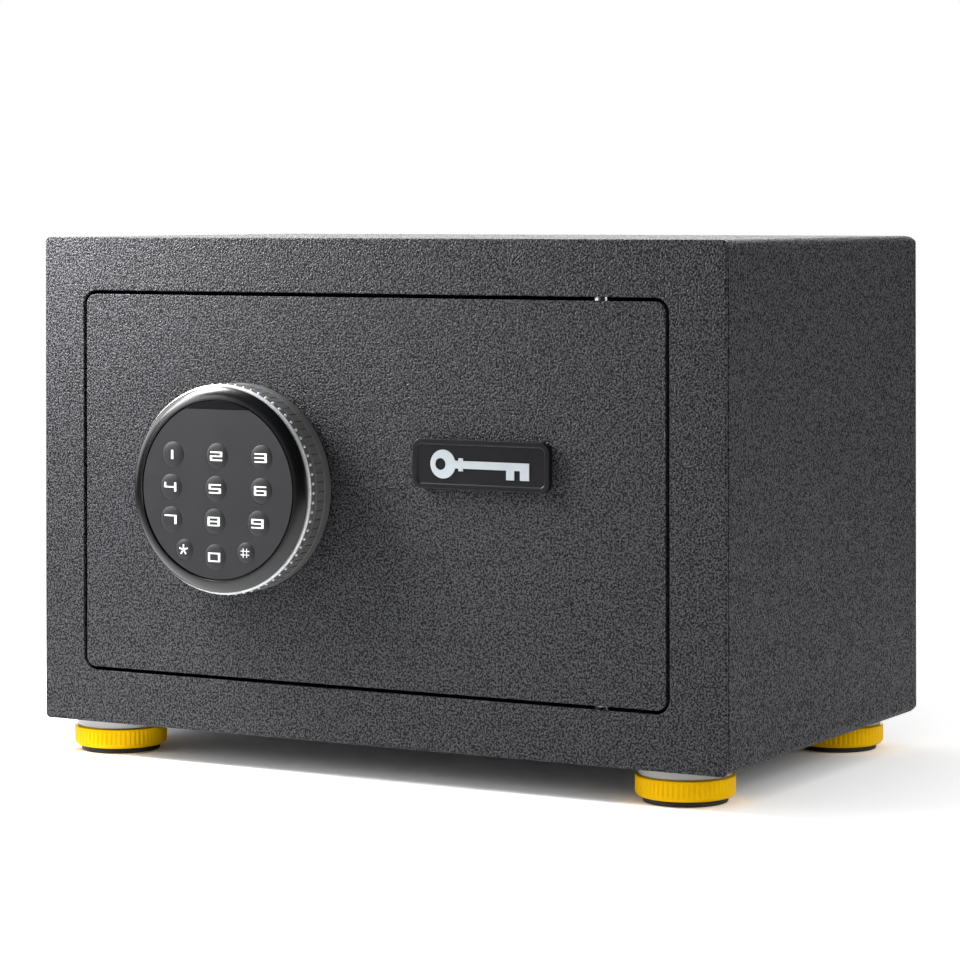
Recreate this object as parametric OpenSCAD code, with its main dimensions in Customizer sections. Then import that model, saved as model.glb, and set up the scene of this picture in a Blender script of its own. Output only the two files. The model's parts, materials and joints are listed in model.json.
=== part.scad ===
// Small hotel-room safe: a steel case on four levelling feet, a flush door on inboard pins,
// a turning lock ring round a fixed keypad, two locking bolts and a badge over the emergency lock.
// X runs along the front, Y into the depth and Z up. The origin is on the floor, under the middle.

/* [Case] */
// Width of the case
case_w = 312; // [300:1:360]
// Height of the case without its feet
case_h = 200; // [190:1:260]
// Depth of the case, from the front plate to the rear panel
case_d = 190; // [170:1:300]
// Sheet thickness of the wrap and the rear panel
sheet_t = 2; // [1.5:0.1:3]
// Thickness of the front frame plate
frame_t = 2; // [1.5:0.1:5]
// Corner radius of the front frame plate
frame_corner_r = 2; // [1:0.1:6]
// Bend radius of the long edges of the case
case_edge_r = 3.5; // [3.2:0.1:8]
// Radius of the top and bottom edges of the rear panel
rear_edge_r = 6.5; // [3.2:0.1:7.5]
// Radius of the upright edges of the rear panel
rear_side_r = 2.5; // [2.3:0.1:6]
// Depth of the pressed skirt of the rear panel
rear_skirt = 8; // [5:0.5:20]
// Radius of the anchor holes in the floor and the rear panel
anchor_r = 5; // [3:0.1:6]
// Distance between the two anchor holes of a pair
anchor_pitch = 160; // [100:1:200]
// Thickness of the felt mat on the case floor
mat_t = 2; // [1:0.1:4]

/* [Door opening] */
// Width of the frame on the bolt side
margin_left = 19.5; // [18:0.5:30]
// Width of the frame on the hinge side
margin_right = 23.5; // [18:0.5:30]
// Width of the frame above the door
margin_top = 21.9; // [20:0.1:30]
// Width of the frame below the door
margin_bottom = 21.4; // [20:0.1:30]
// Corner radius of the opening
opening_r = 6; // [3:0.1:12]

/* [Door] */
// Thickness of the door plate
door_t = 4; // [3:0.1:8]
// Gap between the door and its opening, all round
door_gap = 1.5; // [1.2:0.1:3]
// Corner radius of the door plate
door_r = 4.2; // [2:0.1:10]
// Depth of the inner cover behind the door plate
cover_depth = 31; // [30:0.5:45]
// Sheet thickness of the inner cover
cover_t = 1.2; // [0.8:0.1:1.6]
// Width of the screw flanges above and below the inner cover
flange_w = 6; // [6:0.5:10]
// Radius of the shank of a cover screw
screw_r = 1.8; // [1:0.1:2.5]

/* [Hinge] */
// Distance from the edge of the opening to the hinge axis
hinge_inset = 31.9; // [28:0.1:40]
// Depth of the hinge axis behind the front face
hinge_depth = 8; // [7.6:0.1:10]
// Radius of the hinge pins
hinge_pin_r = 3.5; // [2.5:0.1:3.5]
// Height of each hinge block on the door
block_h = 22; // [14:1:30]
// Thickness of the hinge brackets behind the frame
bracket_t = 3; // [2:0.1:5]

/* [Lock ring] */
// Distance from the bolt-side edge of the door to the lock axis
dial_inset = 77.3; // [72:0.1:82]
// Height of the lock axis above the middle of the door
dial_rise = 0.15; // [-4:0.05:4]
// Height of the turning ring over the door
ring_h = 15; // [14:0.1:18]
// Height of the smooth band at the foot of the ring
ring_band_h = 4.9; // [2:0.1:6]
// Height of the smooth band above the grooves
ring_lip_h = 4.1; // [0.8:0.1:5]
// Wall thickness of the turning ring
ring_wall = 3.6; // [2:0.1:5]
// Gap between the turning ring and the keypad housing
ring_clear = 0.7; // [0.4:0.1:1.5]
// Depth of the grip grooves
groove_depth = 0.6; // [0.2:0.1:1.5]
// Width of a grip groove
groove_w = 0.6; // [0.5:0.1:2]
// Number of grip grooves
groove_count = 70; // [12:1:90]
// Height of the bright trim ring
trim_h = 1; // [0.6:0.1:2]
// Outer radius of the spindle that the ring turns
spindle_r = 8; // [7.5:0.1:10]
// Angle that the ring turns through
ring_turn = 90; // [60:1:96]

/* [Keypad] */
// Radius of the keypad plate
keypad_r = 35.4; // [34:0.1:37]
// Thickness of the keypad plate
keypad_t = 2; // [1.5:0.1:3]
// Gap between the keypad plate and the bezel round it
keypad_seat_gap = 0.6; // [0.2:0.1:1]
// Wall thickness of the keypad housing
housing_wall = 1.5; // [1:0.1:2]
// Height of the convex bezel over its foot
bezel_rise = 2.9; // [2:0.1:4]
// Radius of the convex face of the bezel
bezel_roll_r = 5.8; // [5:0.1:7]
// Radius of a number key
key_r = 5.2; // [4:0.1:5.4]
// Radius of the star and hash keys
small_key_r = 4.2; // [3:0.1:4.6]
// Height of the dome on a key
key_dome = 0.8; // [0.3:0.1:2]
// Travel of a key
key_travel = 0.8; // [0.3:0.1:1]
// Distance from the edge of the keypad plate to the middle of the star and hash keys
low_key_inset = 7; // [6.6:0.1:8]
// Angle between the star or hash key and the 0 key
low_key_angle = 31; // [29:0.5:36]
// Height of the indicator window at its middle
window_h = 3.3; // [2:0.1:4]
// Outer radius of the hollow stem that holds the keypad
stem_r = 5; // [4.4:0.1:5]
// Bore radius of the hollow stem
stem_bore_r = 3; // [2:0.1:3.6]

/* [Bolt work] */
// Radius of the locking bolts
bolt_r = 8; // [5:0.1:8]
// Distance between the two locking bolts
bolt_spread = 64; // [56:1:70]
// Radius at which the crank pin drives the bolt carriage
crank_arm = 12; // [11:0.1:12]
// Radius of the crank pin
crank_pin_r = 3; // [2:0.1:3.2]
// Thickness of the bolt work plates
plate_t = 2; // [1.5:0.1:2.2]
// Thickness of the crank disc
crank_t = 3; // [2:0.1:4]

/* [Emergency lock and badge] */
// Distance from the hinge-side edge of the door to the middle of the badge
badge_inset = 78.3; // [75:0.1:82]
// Height of the badge above the middle of the door
badge_rise = 12.75; // [11:0.05:16]
// Width of the badge
badge_w = 60.4; // [40:0.1:70]
// Height of the badge
badge_h = 19.3; // [18:0.1:26]
// How far the badge stands out from the door
badge_t = 2.8; // [2.4:0.1:4]
// Corner radius of the badge
badge_r = 4; // [1:0.1:6]
// Width of the raised rim round the badge
badge_rim_w = 1.9; // [1:0.1:3]
// Barrel radius of the emergency lock
barrel_r = 6.5; // [5.6:0.1:7]
// Plug radius of the emergency lock
plug_r = 4.5; // [3:0.1:5]

/* [Batteries] */
// Length of a battery cell
cell_l = 50.5; // [44:0.1:50.5]
// Radius of a battery cell
cell_r = 7.15; // [5:0.05:7.25]
// Wall thickness of the battery box
box_wall = 1.5; // [1:0.1:2]
// Thickness of the battery lid
lid_t = 1.7; // [1.2:0.1:2.4]

/* [Feet] */
// Distance from the left side of the case to the left feet
foot_left = 22.5; // [21:0.5:40]
// Distance from the right side of the case to the right feet
foot_right = 27.5; // [21:0.5:40]
// Distance from the front face to the front feet
foot_front = 22; // [21:0.5:40]
// Distance from the rear face to the rear feet
foot_rear = 22; // [21:0.5:40]
// Thickness of the disc between foot and case
disc_t = 3.5; // [2:0.1:6]
// Radius of the disc
disc_r = 18; // [14:0.1:20]
// Height of the turning collar
collar_h = 8; // [6:0.1:14]
// Outer radius of the turning collar
collar_r = 19.4; // [17.4:0.1:20]
// Number of grip flutes round the collar
flute_count = 60; // [12:1:80]
// Depth of the grip flutes
flute_depth = 0.6; // [0.2:0.1:1]
// Radius of the rubber pad
pad_r = 16.4; // [12:0.1:17]
// Thickness of the rubber pad below the collar
pad_t = 1.9; // [1:0.1:5]
// Radius of the threaded stud
stud_r = 4; // [3:0.1:5]

/* [Clearances] */
// Radial clearance of turning and sliding fits
fit_gap = 0.05; // [0.02:0.01:0.1]
// Gap between parts that move past each other
free_gap = 0.3; // [0.2:0.05:0.4]
// Gap between the layers of the bolt work
layer_gap = 1; // [0.6:0.1:1.2]

/* [Hidden] */
$fn = 96;

// Colours
steel_paint = [0.27, 0.27, 0.29];
dark_paint = [0.2, 0.2, 0.21];
zinc = [0.72, 0.72, 0.7];
bright = [0.85, 0.86, 0.88];
black_gloss = [0.06, 0.06, 0.07];
black_satin = [0.24, 0.24, 0.25];
yellow = [0.96, 0.78, 0.02];
board_green = [0.08, 0.32, 0.18];

// Case and opening, measured from the underside and the front face of the case
base_z = disc_t + collar_h + pad_t + 2 * free_gap;
opening_x0 = margin_left - case_w / 2;
opening_x1 = case_w / 2 - margin_right;
opening_z0 = margin_bottom;
opening_z1 = case_h - margin_top;
door_x0 = opening_x0 + door_gap;
door_x1 = opening_x1 - door_gap;
door_z0 = opening_z0 + door_gap;
door_z1 = opening_z1 - door_gap;
door_mid_z = (door_z0 + door_z1) / 2;
dial_x = door_x0 + dial_inset;
dial_z = door_mid_z + dial_rise;
badge_x = door_x1 - badge_inset;
badge_z = door_mid_z + badge_rise;
wrap_y1 = case_d - rear_skirt;
anchor_depth = case_d / 2;
foot_x0 = foot_left - case_w / 2;
foot_x1 = case_w / 2 - foot_right;
mat_nut_gap = 13;
mat_front = 34;
mat_back_gap = rear_edge_r;
mat_r = 6;

// Hinge
hinge_x = opening_x1 - hinge_inset;
bracket_drop = 1;
bracket_w = 28;
bracket_reach = hinge_depth + hinge_pin_r + 5;
pin_top = opening_z1 + bracket_drop + bracket_t + 1;
block_z1 = door_z1 - 1;
pin_z0 = block_z1 - block_h + 4;
block_w = 18;
block_t = hinge_depth + hinge_pin_r + 0.7 - door_t;

// Layers behind the door plate
chassis_y1 = door_t + plate_t;
crank_y0 = chassis_y1 + layer_gap;
crank_y1 = crank_y0 + crank_t;
carriage_y0 = crank_y1 + layer_gap;
carriage_y1 = carriage_y0 + plate_t;
pin_end = carriage_y1 + 2;
bridge_y0 = pin_end + 2;
bridge_y1 = bridge_y0 + plate_t;
bolt_y = carriage_y0 + bolt_r - 2;
cover_y1 = door_t + cover_depth;

// Bolt work
half_turn = ring_turn / 2;
throw = 2 * crank_arm * sin(half_turn);
pin_x = crank_arm * sin(half_turn);
pin_z = crank_arm * cos(half_turn);
bolt_z = bolt_spread / 2;
bolt_tip_gap = 1.2;
bolt_tip_x = door_x0 + bolt_tip_gap;
bolt_l = 32;
bolt_tail_x = bolt_tip_x + bolt_l;
spigot_r = bolt_r / 2;
spigot_l = 5;
guide_x0 = bolt_tip_x + 8;
guide_y1 = bolt_y + bolt_r + 3;
carriage_half_h = bolt_z + bolt_r + 2;
carriage_x1 = dial_x + 30;
carriage_flange_y1 = bolt_y + bolt_r;
post_r = 3;
post_x = dial_x - 22.5;
post_z = 24;
slot_slack = 0.6;
stem_slot_h = stem_r + 1.5;
crank_disc_r = crank_arm + crank_pin_r + 1.5;
keeper_gap = 1;
keeper_x1 = opening_x0 - keeper_gap;
keeper_y1 = bolt_y + bolt_r + 5;
keeper_flange_w = 14;
keeper_half_h = bolt_z + bolt_r + 14;
keeper_hole_gap = 1;

// Inner cover and battery box
cell_gap = 1;
cell_side_gap = 0.7;
cell_back_gap = 3;
box_in_w = 2 * (cell_l + cell_gap);
cell_rows_gap = 0.8;
box_in_h = 4 * cell_r + cell_rows_gap + 2 * cell_side_gap;
cover_x1 = hinge_x - block_w / 2 - 6;
cover_z0 = door_z0 + flange_w + 1.2;
cover_z1 = door_z1 - flange_w - 1.2;
box_side_gap = 6.4;
box_low_gap = 3.6;
box_x1 = cover_x1 - cover_t - box_side_gap;
box_x0 = box_x1 - box_in_w - 2 * box_wall;
box_z0 = cover_z0 + cover_t + box_low_gap;
box_z1 = box_z0 + box_in_h + 2 * box_wall;
box_y1 = cover_y1 - cover_t;
box_y0 = box_y1 - 2 * cell_r - box_wall - cell_back_gap;
lid_lap = 1;
lid_pin_r = 1.25;
lid_pin_z = box_z1 + 3;
lid_gap = 0.2;
lid_pin_y = cover_y1 + lid_gap + lid_t + 0.6;
lug_t = 2;

// Solenoid and its plunger
cam_half_w = 4;
cam_tip_gap = 6.8;
cam_l = badge_z - cam_half_w - cam_tip_gap - box_z1;
cam_short = 1.4;
sol_x = badge_x - cam_l - cam_short;
sol_y = bolt_y;
sol_size = 22;
sol_h = 24;
coil_r = sol_size / 2 - 1.5;
plunger_r = 3;
collar_disc_r = 7;
collar_disc_t = 1.5;
plunger_pull = 3;
collar_z0 = badge_z + cam_half_w + free_gap;
collar_z1 = collar_z0 + collar_disc_t;
spring_l = 5.5;
sol_z0 = collar_z1 + spring_l;
tail_z1 = collar_z0 - 3;
tail_h = 12;
tail_x1 = sol_x + throw + 6;
tail_shelf_y1 = sol_y + 4;
chassis_x1 = sol_x + sol_size / 2 + 5;
chassis_half_h = carriage_half_h + 8;
spring_wire_r = 0.35;
spring_mean_r = 4.6;
spring_turns = 4;

// Bridge that holds the stem
bridge_gap = 3.5;
bridge_x1 = carriage_x1 + bridge_gap + plate_t;
bridge_foot_l = 18;
bridge_half_h = 12;
bridge_web_h = 14;

// Emergency lock
barrel_y1 = bolt_y + plunger_r + 1.5;
cam_y0 = barrel_y1 + 0.5;
cam_y1 = cam_y0 + 2;
cam_tail_r = 3;
lock_head_r = barrel_r + 1;
lock_head_t = 1.1;
keyway_w = 1.2;
keyway_h = 6;
keyway_d = 3.1;
nut_r = barrel_r + 3.5;
nut_t = 3;
badge_back_gap = 0.1;
badge_wall = 1.4;
badge_floor = 0.8;
badge_field_drop = 0.5;
peg_r = 1.5;
peg_x = badge_w / 2 - 7;

// Dial stack, measured outwards from the front face
ring_foot = 0.5;
web_h0 = ring_foot + 1;
web_h1 = web_h0 + 2.5;
ring_top = ring_foot + ring_h;
groove_h0 = ring_foot + ring_band_h;
groove_h1 = ring_top - ring_lip_h;
ring_step = 0.15;
trim_top = ring_top + trim_h;
bezel_in_r = keypad_r + keypad_seat_gap;
bezel_r = bezel_in_r + sqrt(bezel_rise * (2 * bezel_roll_r - bezel_rise));
housing_r = bezel_in_r + housing_wall;
ring_in_r = housing_r + ring_clear;
ring_r = ring_in_r + ring_wall;
bezel_h0 = trim_top + free_gap;
bezel_top = bezel_h0 + bezel_rise;
keypad_top = bezel_top - free_gap;
keypad_h0 = keypad_top - keypad_t;
ledge_w = 1.2;
ledge_r = keypad_r - ledge_w;
window_z = keypad_r - window_h;
housing_floor_h0 = web_h1 + 6;
housing_floor_h1 = housing_floor_h0 + 2;
keypad_board_t = 1.6;
stem_flange_r = 14;
stem_flange_t = 2;
key_flange = 0.7;
key_under_gap = 0.9;
key_flange_h0 = housing_floor_h1 + keypad_board_t + key_travel + key_under_gap;
key_flange_h1 = keypad_h0 - free_gap;
window_gap = 0.1;
dial_stand = keypad_top + key_dome;

// Rows of keys from the top: place across of the middle key, distance between keys, height over the lock axis
key_rows = [[0, 21, 13.5], [-0.6, 21.4, 0.5], [-1.2, 20.7, -12.5]];
low_key_x = -1;
zero_key_inset = 8.7;

// Control board and reset button
board_w = 42;
board_x0 = box_x1 - board_w;
board_lock_gap = 1.5;
board_top_gap = 4.8;
board_z0 = badge_z + nut_r + board_lock_gap;
board_z1 = cover_z1 - cover_t - board_top_gap;
board_y0 = door_t + 5;
board_t = 1.6;
plug_size = 6;
plug_t = 2;
keypad_plug_x = board_x0 + 8;
keypad_plug_z = board_z0 + 8;
battery_plug_x = box_x1 - 8;
battery_plug_z = board_z0 + 5;
plug_face_y = board_y0 + board_t + plug_t + free_gap;
reset_x = board_x0 + 22;
reset_z = board_z1 - 12;
reset_r = 3.5;
reset_travel = 0.8;
switch_t = 3.4;
reset_flange_y0 = cover_y1 - cover_t - free_gap - 1.5;
reset_proud = 1.2;

// Inner cover
cover_x0 = guide_x0 - 2 * cover_t;
cover_r = 4;
screw_head_r = flange_w / 2 - free_gap;
screw_head_t = 2;
screw_depth = 2.5;
cover_screw_x = [cover_x0 + 30, (cover_x0 + cover_x1) / 2, cover_x1 - 30];

// Feet
collar_top = -disc_t - free_gap;
collar_bottom = collar_top - collar_h;
collar_lip = 1.2;
collar_chamfer = 1.2;
collar_step = 0.15;
nut_h = 6.5;
stud_top = sheet_t + nut_h + 0.5;
nut_across = 13;
pad_boss_r = 6;
pad_boss_h = 4.6;
pad_top = collar_bottom - free_gap;
foot_places = [
  [foot_x0, foot_front], [foot_x1, foot_front],
  [foot_x0, case_d - foot_rear], [foot_x1, case_d - foot_rear]
];

// The front face is set so that the whole depth, keypad included, is centred on the origin
front_y = (dial_stand - case_d) / 2;

// Routes of the two leads, as hand-placed points measured from the case's lower front edge
lead_r = 1.3;
lead_sides = 8;
lead_steps = 4;
keypad_lead_points = [
  [dial_x, -housing_floor_h1, dial_z], [dial_x, 0, dial_z], [dial_x, bridge_y1, dial_z],
  [dial_x, bridge_y1 + 6, dial_z], [dial_x + 3, bridge_y1 + 11, dial_z + 1],
  [dial_x + 14, bridge_y1 + 12, dial_z + 4], [dial_x + 50, bridge_y1 + 12, dial_z + 12],
  [sol_x - 2, bridge_y1 + 12, sol_z0 - 5], [sol_x + 17, bridge_y1 + 11, sol_z0 - 2],
  [keypad_plug_x - 2, bridge_y1 + 5, keypad_plug_z - 3], [keypad_plug_x, plug_face_y + 3, keypad_plug_z],
  [keypad_plug_x, plug_face_y, keypad_plug_z]
];
battery_lead_points = [
  [battery_plug_x, box_y0 + 6, box_z1], [battery_plug_x, box_y0 + 6, box_z1 + 6],
  [battery_plug_x + 1, box_y0 + 5, box_z1 + 20], [battery_plug_x + 1, box_y0 + 3, battery_plug_z - 20],
  [battery_plug_x, plug_face_y + 5, battery_plug_z - 5], [battery_plug_x, plug_face_y + 3, battery_plug_z],
  [battery_plug_x, plug_face_y, battery_plug_z]
];

// ---- Helpers ----

// From the case's own corner (middle, front face, underside) to the part's origin
module in_case() {
  translate([0, front_y, base_z]) children();
}

// Draws outwards from the front face, round the lock axis: local Z is the distance from the face
module on_dial() {
  in_case() translate([dial_x, 0, dial_z]) rotate([90, 0, 0]) children();
}

// A child drawn as it stands, and again mirrored at the middle of the door's height
module top_and_bottom() {
  children();
  translate([0, 0, 2 * door_mid_z]) mirror([0, 0, 1]) children();
}

module rounded_rect(w, h, r) {
  square([w - 2 * r, h], center = true);
  square([w, h - 2 * r], center = true);
  for (sx = [-1, 1], sy = [-1, 1]) {
    translate([sx * (w / 2 - r), sy * (h / 2 - r)]) circle(r);
  }
}

// A plate that stands upright along the front, with rounded corners
module upright_plate(x0, x1, z0, z1, y0, y1, r) {
  translate([(x0 + x1) / 2, y1, (z0 + z1) / 2]) rotate([90, 0, 0]) {
    linear_extrude(y1 - y0) rounded_rect(x1 - x0, z1 - z0, r);
  }
}

module box(x0, x1, y0, y1, z0, z1) {
  translate([x0, y0, z0]) cube([x1 - x0, y1 - y0, z1 - z0]);
}

module rod_x(x0, x1, y, z, r) {
  translate([x0, y, z]) rotate([0, 90, 0]) cylinder(r = r, h = x1 - x0);
}

module rod_y(x, y0, y1, z, r) {
  translate([x, y1, z]) rotate([90, 0, 0]) cylinder(r = r, h = y1 - y0);
}

module rod_z(x, y, z0, z1, r) {
  translate([x, y, z0]) cylinder(r = r, h = z1 - z0);
}

// A slot along the front for a rod of radius r that travels from x0 to x1
module slot_x(x0, x1, y0, y1, z, r) {
  rod_y(x0, y0, y1, z, r);
  rod_y(x1, y0, y1, z, r);
  box(x0, x1, y0, y1, z - r, z + r);
}

// Outline of a round grip with narrow grooves
function grip_outline(r, depth, count, land) = [
  for (i = [0:count - 1], k = [0:3])
    let (step = 360 / count, half = step * land / 2)
    let (a = step * i + [-half, half, half + 0.01, step - half - 0.01][k])
    let (q = k < 2 ? r : r - depth)
    [q * cos(a), q * sin(a)]
];

// A point on a smooth curve through the points p, at t of the way from point i to i + 1
function curve_point(p, i, t) =
  let (n = len(p) - 1)
  let (a = p[max(i - 1, 0)], b = p[i], c = p[min(i + 1, n)], d = p[min(i + 2, n)])
  0.5 * (2 * b + (c - a) * t + (2 * a - 5 * b + 4 * c - d) * t * t
    + (3 * b - a - 3 * c + d) * t * t * t);

function curve(p, steps) = concat(
  [for (i = [0:len(p) - 2], k = [0:steps - 1]) curve_point(p, i, k / steps)],
  [p[len(p) - 1]]
);

function unit(v) = v / norm(v);

// Rings of points round a route, each square to it; side is a direction the route never takes
function tube_rings(p, r, sides, side) = [
  for (i = [0:len(p) - 1])
    let (along = unit(p[min(i + 1, len(p) - 1)] - p[max(i - 1, 0)]))
    let (u = unit(cross(along, side)), v = cross(along, u))
    for (k = [0:sides - 1]) p[i] + r * (cos(360 * k / sides) * u + sin(360 * k / sides) * v)
];

// A round tube swept along a route
module tube(p, r, sides, side) {
  rings = len(p);
  walls = [
    for (i = [0:rings - 2], k = [0:sides - 1])
      let (a = i * sides + k, b = i * sides + (k + 1) % sides)
      [a, b, b + sides, a + sides]
  ];
  first = [for (k = [sides - 1:-1:0]) k];
  last = [for (k = [0:sides - 1]) (rings - 1) * sides + k];
  polyhedron(points = tube_rings(p, r, sides, side), faces = concat(walls, [first], [last]));
}

// ---- Case ----

module anchor_holes_y(y0, y1) {
  for (side = [-1, 1]) rod_y(side * anchor_pitch / 2, y0, y1, case_h / 2, anchor_r);
}

module anchor_holes_z(z0, z1, r) {
  for (side = [-1, 1]) rod_z(side * anchor_pitch / 2, anchor_depth, z0, z1, r);
}

module front_frame() {
  color(steel_paint) in_case() difference() {
    upright_plate(-case_w / 2, case_w / 2, 0, case_h, 0, frame_t, frame_corner_r);
    upright_plate(opening_x0, opening_x1, opening_z0, opening_z1, -1, frame_t + 1, opening_r);
  }
}

module case_wrap() {
  inner_r = case_edge_r - sheet_t;
  inner_x = case_w / 2 - sheet_t;
  color(steel_paint) in_case() difference() {
    upright_plate(-case_w / 2, case_w / 2, 0, case_h, frame_t, wrap_y1, case_edge_r);
    upright_plate(-inner_x, inner_x, sheet_t, case_h - sheet_t, frame_t - 1, wrap_y1 + 1, inner_r);
    anchor_holes_z(-1, sheet_t + 1, anchor_r);
    for (p = foot_places) rod_z(p[0], p[1], -1, sheet_t + 1, stud_r + 0.5);
  }
}

// The rear panel's block with rounded edges, drawn smaller all round by inset
module rear_block(inset) {
  x = case_w / 2 - inset;
  y1 = case_d - inset;
  block_d = 4 * rear_edge_r + rear_skirt;
  intersection() {
    upright_plate(-x, x, inset, case_h - inset, wrap_y1 - inset, y1, case_edge_r - inset);
    translate([0, y1 - block_d / 2, 0]) {
      linear_extrude(case_h) rounded_rect(2 * x, block_d, rear_side_r - inset);
    }
    translate([-x, y1 - block_d / 2, case_h / 2]) rotate([90, 0, 90]) {
      linear_extrude(2 * x) rounded_rect(block_d, case_h - 2 * inset, rear_edge_r - inset);
    }
  }
}

module rear_panel() {
  color(steel_paint) in_case() difference() {
    rear_block(0);
    rear_block(sheet_t);
    anchor_holes_y(wrap_y1, case_d + 1);
  }
}

module hinge_bracket() {
  z0 = opening_z1 + bracket_drop;
  leg_top = case_h - sheet_t - 2;
  notch_x0 = hinge_x - hinge_pin_r - 1;
  difference() {
    union() {
      box(hinge_x - bracket_w / 2, hinge_x + bracket_w / 2, frame_t, bracket_reach, z0, z0 + bracket_t);
      box(hinge_x - bracket_w / 2, hinge_x + bracket_w / 2, frame_t, frame_t + 2, z0, leg_top);
    }
    rod_z(hinge_x, hinge_depth, z0 - 1, z0 + bracket_t + 1, hinge_pin_r + fit_gap);
    box(notch_x0, notch_x0 + 2 * hinge_pin_r + 2, frame_t - 1, frame_t + 3, z0 + bracket_t, pin_top + 1);
  }
}

module hinge_brackets() {
  color(zinc) in_case() top_and_bottom() hinge_bracket();
}

module bolt_keeper() {
  z0 = dial_z - keeper_half_h;
  z1 = dial_z + keeper_half_h;
  color(zinc) in_case() difference() {
    union() {
      box(keeper_x1 - keeper_flange_w, keeper_x1, frame_t, frame_t + 2, z0, z1);
      box(keeper_x1 - 2, keeper_x1, frame_t, keeper_y1, z0, z1);
    }
    for (side = [-1, 1]) {
      rod_x(keeper_x1 - 3, keeper_x1 + 1, bolt_y, dial_z + side * bolt_z, bolt_r + keeper_hole_gap);
    }
  }
}

module floor_mat() {
  mat_l = case_d - sheet_t - mat_back_gap - mat_front;
  mat_x0 = foot_x0 + mat_nut_gap;
  mat_x1 = foot_x1 - mat_nut_gap;
  color(dark_paint) in_case() difference() {
    translate([(mat_x0 + mat_x1) / 2, mat_front + mat_l / 2, sheet_t]) {
      linear_extrude(mat_t) rounded_rect(mat_x1 - mat_x0, mat_l, mat_r);
    }
    anchor_holes_z(sheet_t - 1, sheet_t + mat_t + 1, anchor_r + 2);
  }
}

// ---- Feet ----

module foot_discs() {
  color("white") in_case() for (p = foot_places) difference() {
    rod_z(p[0], p[1], -disc_t, 0, disc_r);
    rod_z(p[0], p[1], -disc_t - 1, 1, stud_r + 0.5);
  }
}

module foot_nuts() {
  color(zinc) in_case() for (p = foot_places) translate([p[0], p[1], sheet_t]) difference() {
    cylinder(d = nut_across / cos(30), h = nut_h, $fn = 6);
    translate([0, 0, -1]) cylinder(r = stud_r + fit_gap, h = nut_h + 2);
  }
}

module foot_collar(place) {
  flute_r = collar_r - collar_step;
  grip_r = flute_r - flute_depth - collar_step;
  color(yellow) in_case() translate([place[0], place[1], 0]) difference() {
    union() {
      rotate_extrude() polygon([
        [0, collar_bottom], [grip_r - collar_chamfer, collar_bottom],
        [grip_r, collar_bottom + collar_chamfer], [grip_r, collar_top - collar_lip],
        [collar_r, collar_top - collar_lip], [collar_r, collar_top], [0, collar_top]
      ]);
      translate([0, 0, collar_bottom + collar_chamfer]) {
        linear_extrude(collar_h - collar_lip - collar_chamfer) {
          polygon(grip_outline(flute_r, flute_depth, flute_count, 0.5));
        }
      }
      translate([0, 0, collar_top]) cylinder(r = stud_r, h = stud_top - collar_top);
    }
    translate([0, 0, collar_bottom - 1]) cylinder(r = pad_boss_r + fit_gap, h = pad_boss_h + 1);
  }
}

module foot_pad(place) {
  bottom = pad_top - pad_t;
  edge = 0.5;
  color("black") in_case() translate([place[0], place[1], 0]) rotate_extrude() polygon([
    [0, bottom], [pad_r - edge, bottom], [pad_r, bottom + edge], [pad_r, pad_top],
    [pad_boss_r, pad_top], [pad_boss_r, pad_top + pad_boss_h], [0, pad_top + pad_boss_h]
  ]);
}

// ---- Door ----

module cover_screw_places() {
  for (x = cover_screw_x) top_and_bottom() translate([x, 0, cover_z1 + flange_w / 2]) children();
}

module door_plate() {
  color(steel_paint) in_case() difference() {
    upright_plate(door_x0, door_x1, door_z0, door_z1, 0, door_t, door_r);
    rod_y(dial_x, -1, door_t + 1, dial_z, spindle_r + fit_gap);
    rod_y(badge_x, -1, door_t + 1, badge_z, barrel_r);
    for (side = [-1, 1]) rod_y(badge_x + side * peg_x, -1, door_t + 1, badge_z, peg_r + fit_gap);
    cover_screw_places() rod_y(0, door_t - screw_depth, door_t + 1, 0, screw_r);
  }
}

module hinge_blocks() {
  x0 = hinge_x - block_w / 2;
  color(zinc) in_case() top_and_bottom() difference() {
    box(x0, x0 + block_w, door_t, door_t + block_t, block_z1 - block_h, block_z1);
    rod_z(hinge_x, hinge_depth, pin_z0, door_z1, hinge_pin_r);
  }
}

module hinge_pins() {
  color(bright) in_case() top_and_bottom() rod_z(hinge_x, hinge_depth, pin_z0, pin_top, hinge_pin_r);
}

module lock_chassis() {
  z0 = dial_z - chassis_half_h;
  z1 = dial_z + chassis_half_h;
  color(zinc) in_case() difference() {
    union() {
      box(guide_x0, chassis_x1, door_t, chassis_y1, z0, z1);
      box(guide_x0, guide_x0 + plate_t, door_t, guide_y1, z0, z1);
      for (side = [-1, 1]) rod_y(post_x, chassis_y1, carriage_y1 + 1.5, dial_z + side * post_z, post_r);
    }
    rod_y(dial_x, door_t - 1, chassis_y1 + 1, dial_z, spindle_r + free_gap);
    for (side = [-1, 1]) {
      rod_x(guide_x0 - 1, guide_x0 + plate_t + 1, bolt_y, dial_z + side * bolt_z, bolt_r + fit_gap);
    }
  }
}

module stem_bridge() {
  web_z0 = dial_z - bridge_half_h - 4;
  web_z1 = web_z0 + bridge_web_h;
  color(zinc) in_case() difference() {
    union() {
      box(dial_x - bridge_half_h, bridge_x1, bridge_y0, bridge_y1, web_z0, dial_z + bridge_half_h);
      box(bridge_x1 - plate_t, bridge_x1, chassis_y1, bridge_y1, web_z0, web_z1);
      box(bridge_x1, bridge_x1 + bridge_foot_l, chassis_y1, chassis_y1 + plate_t, web_z0, web_z1);
    }
    rod_y(dial_x, bridge_y0 - 1, bridge_y1 + 1, dial_z, stem_r);
  }
}

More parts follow.
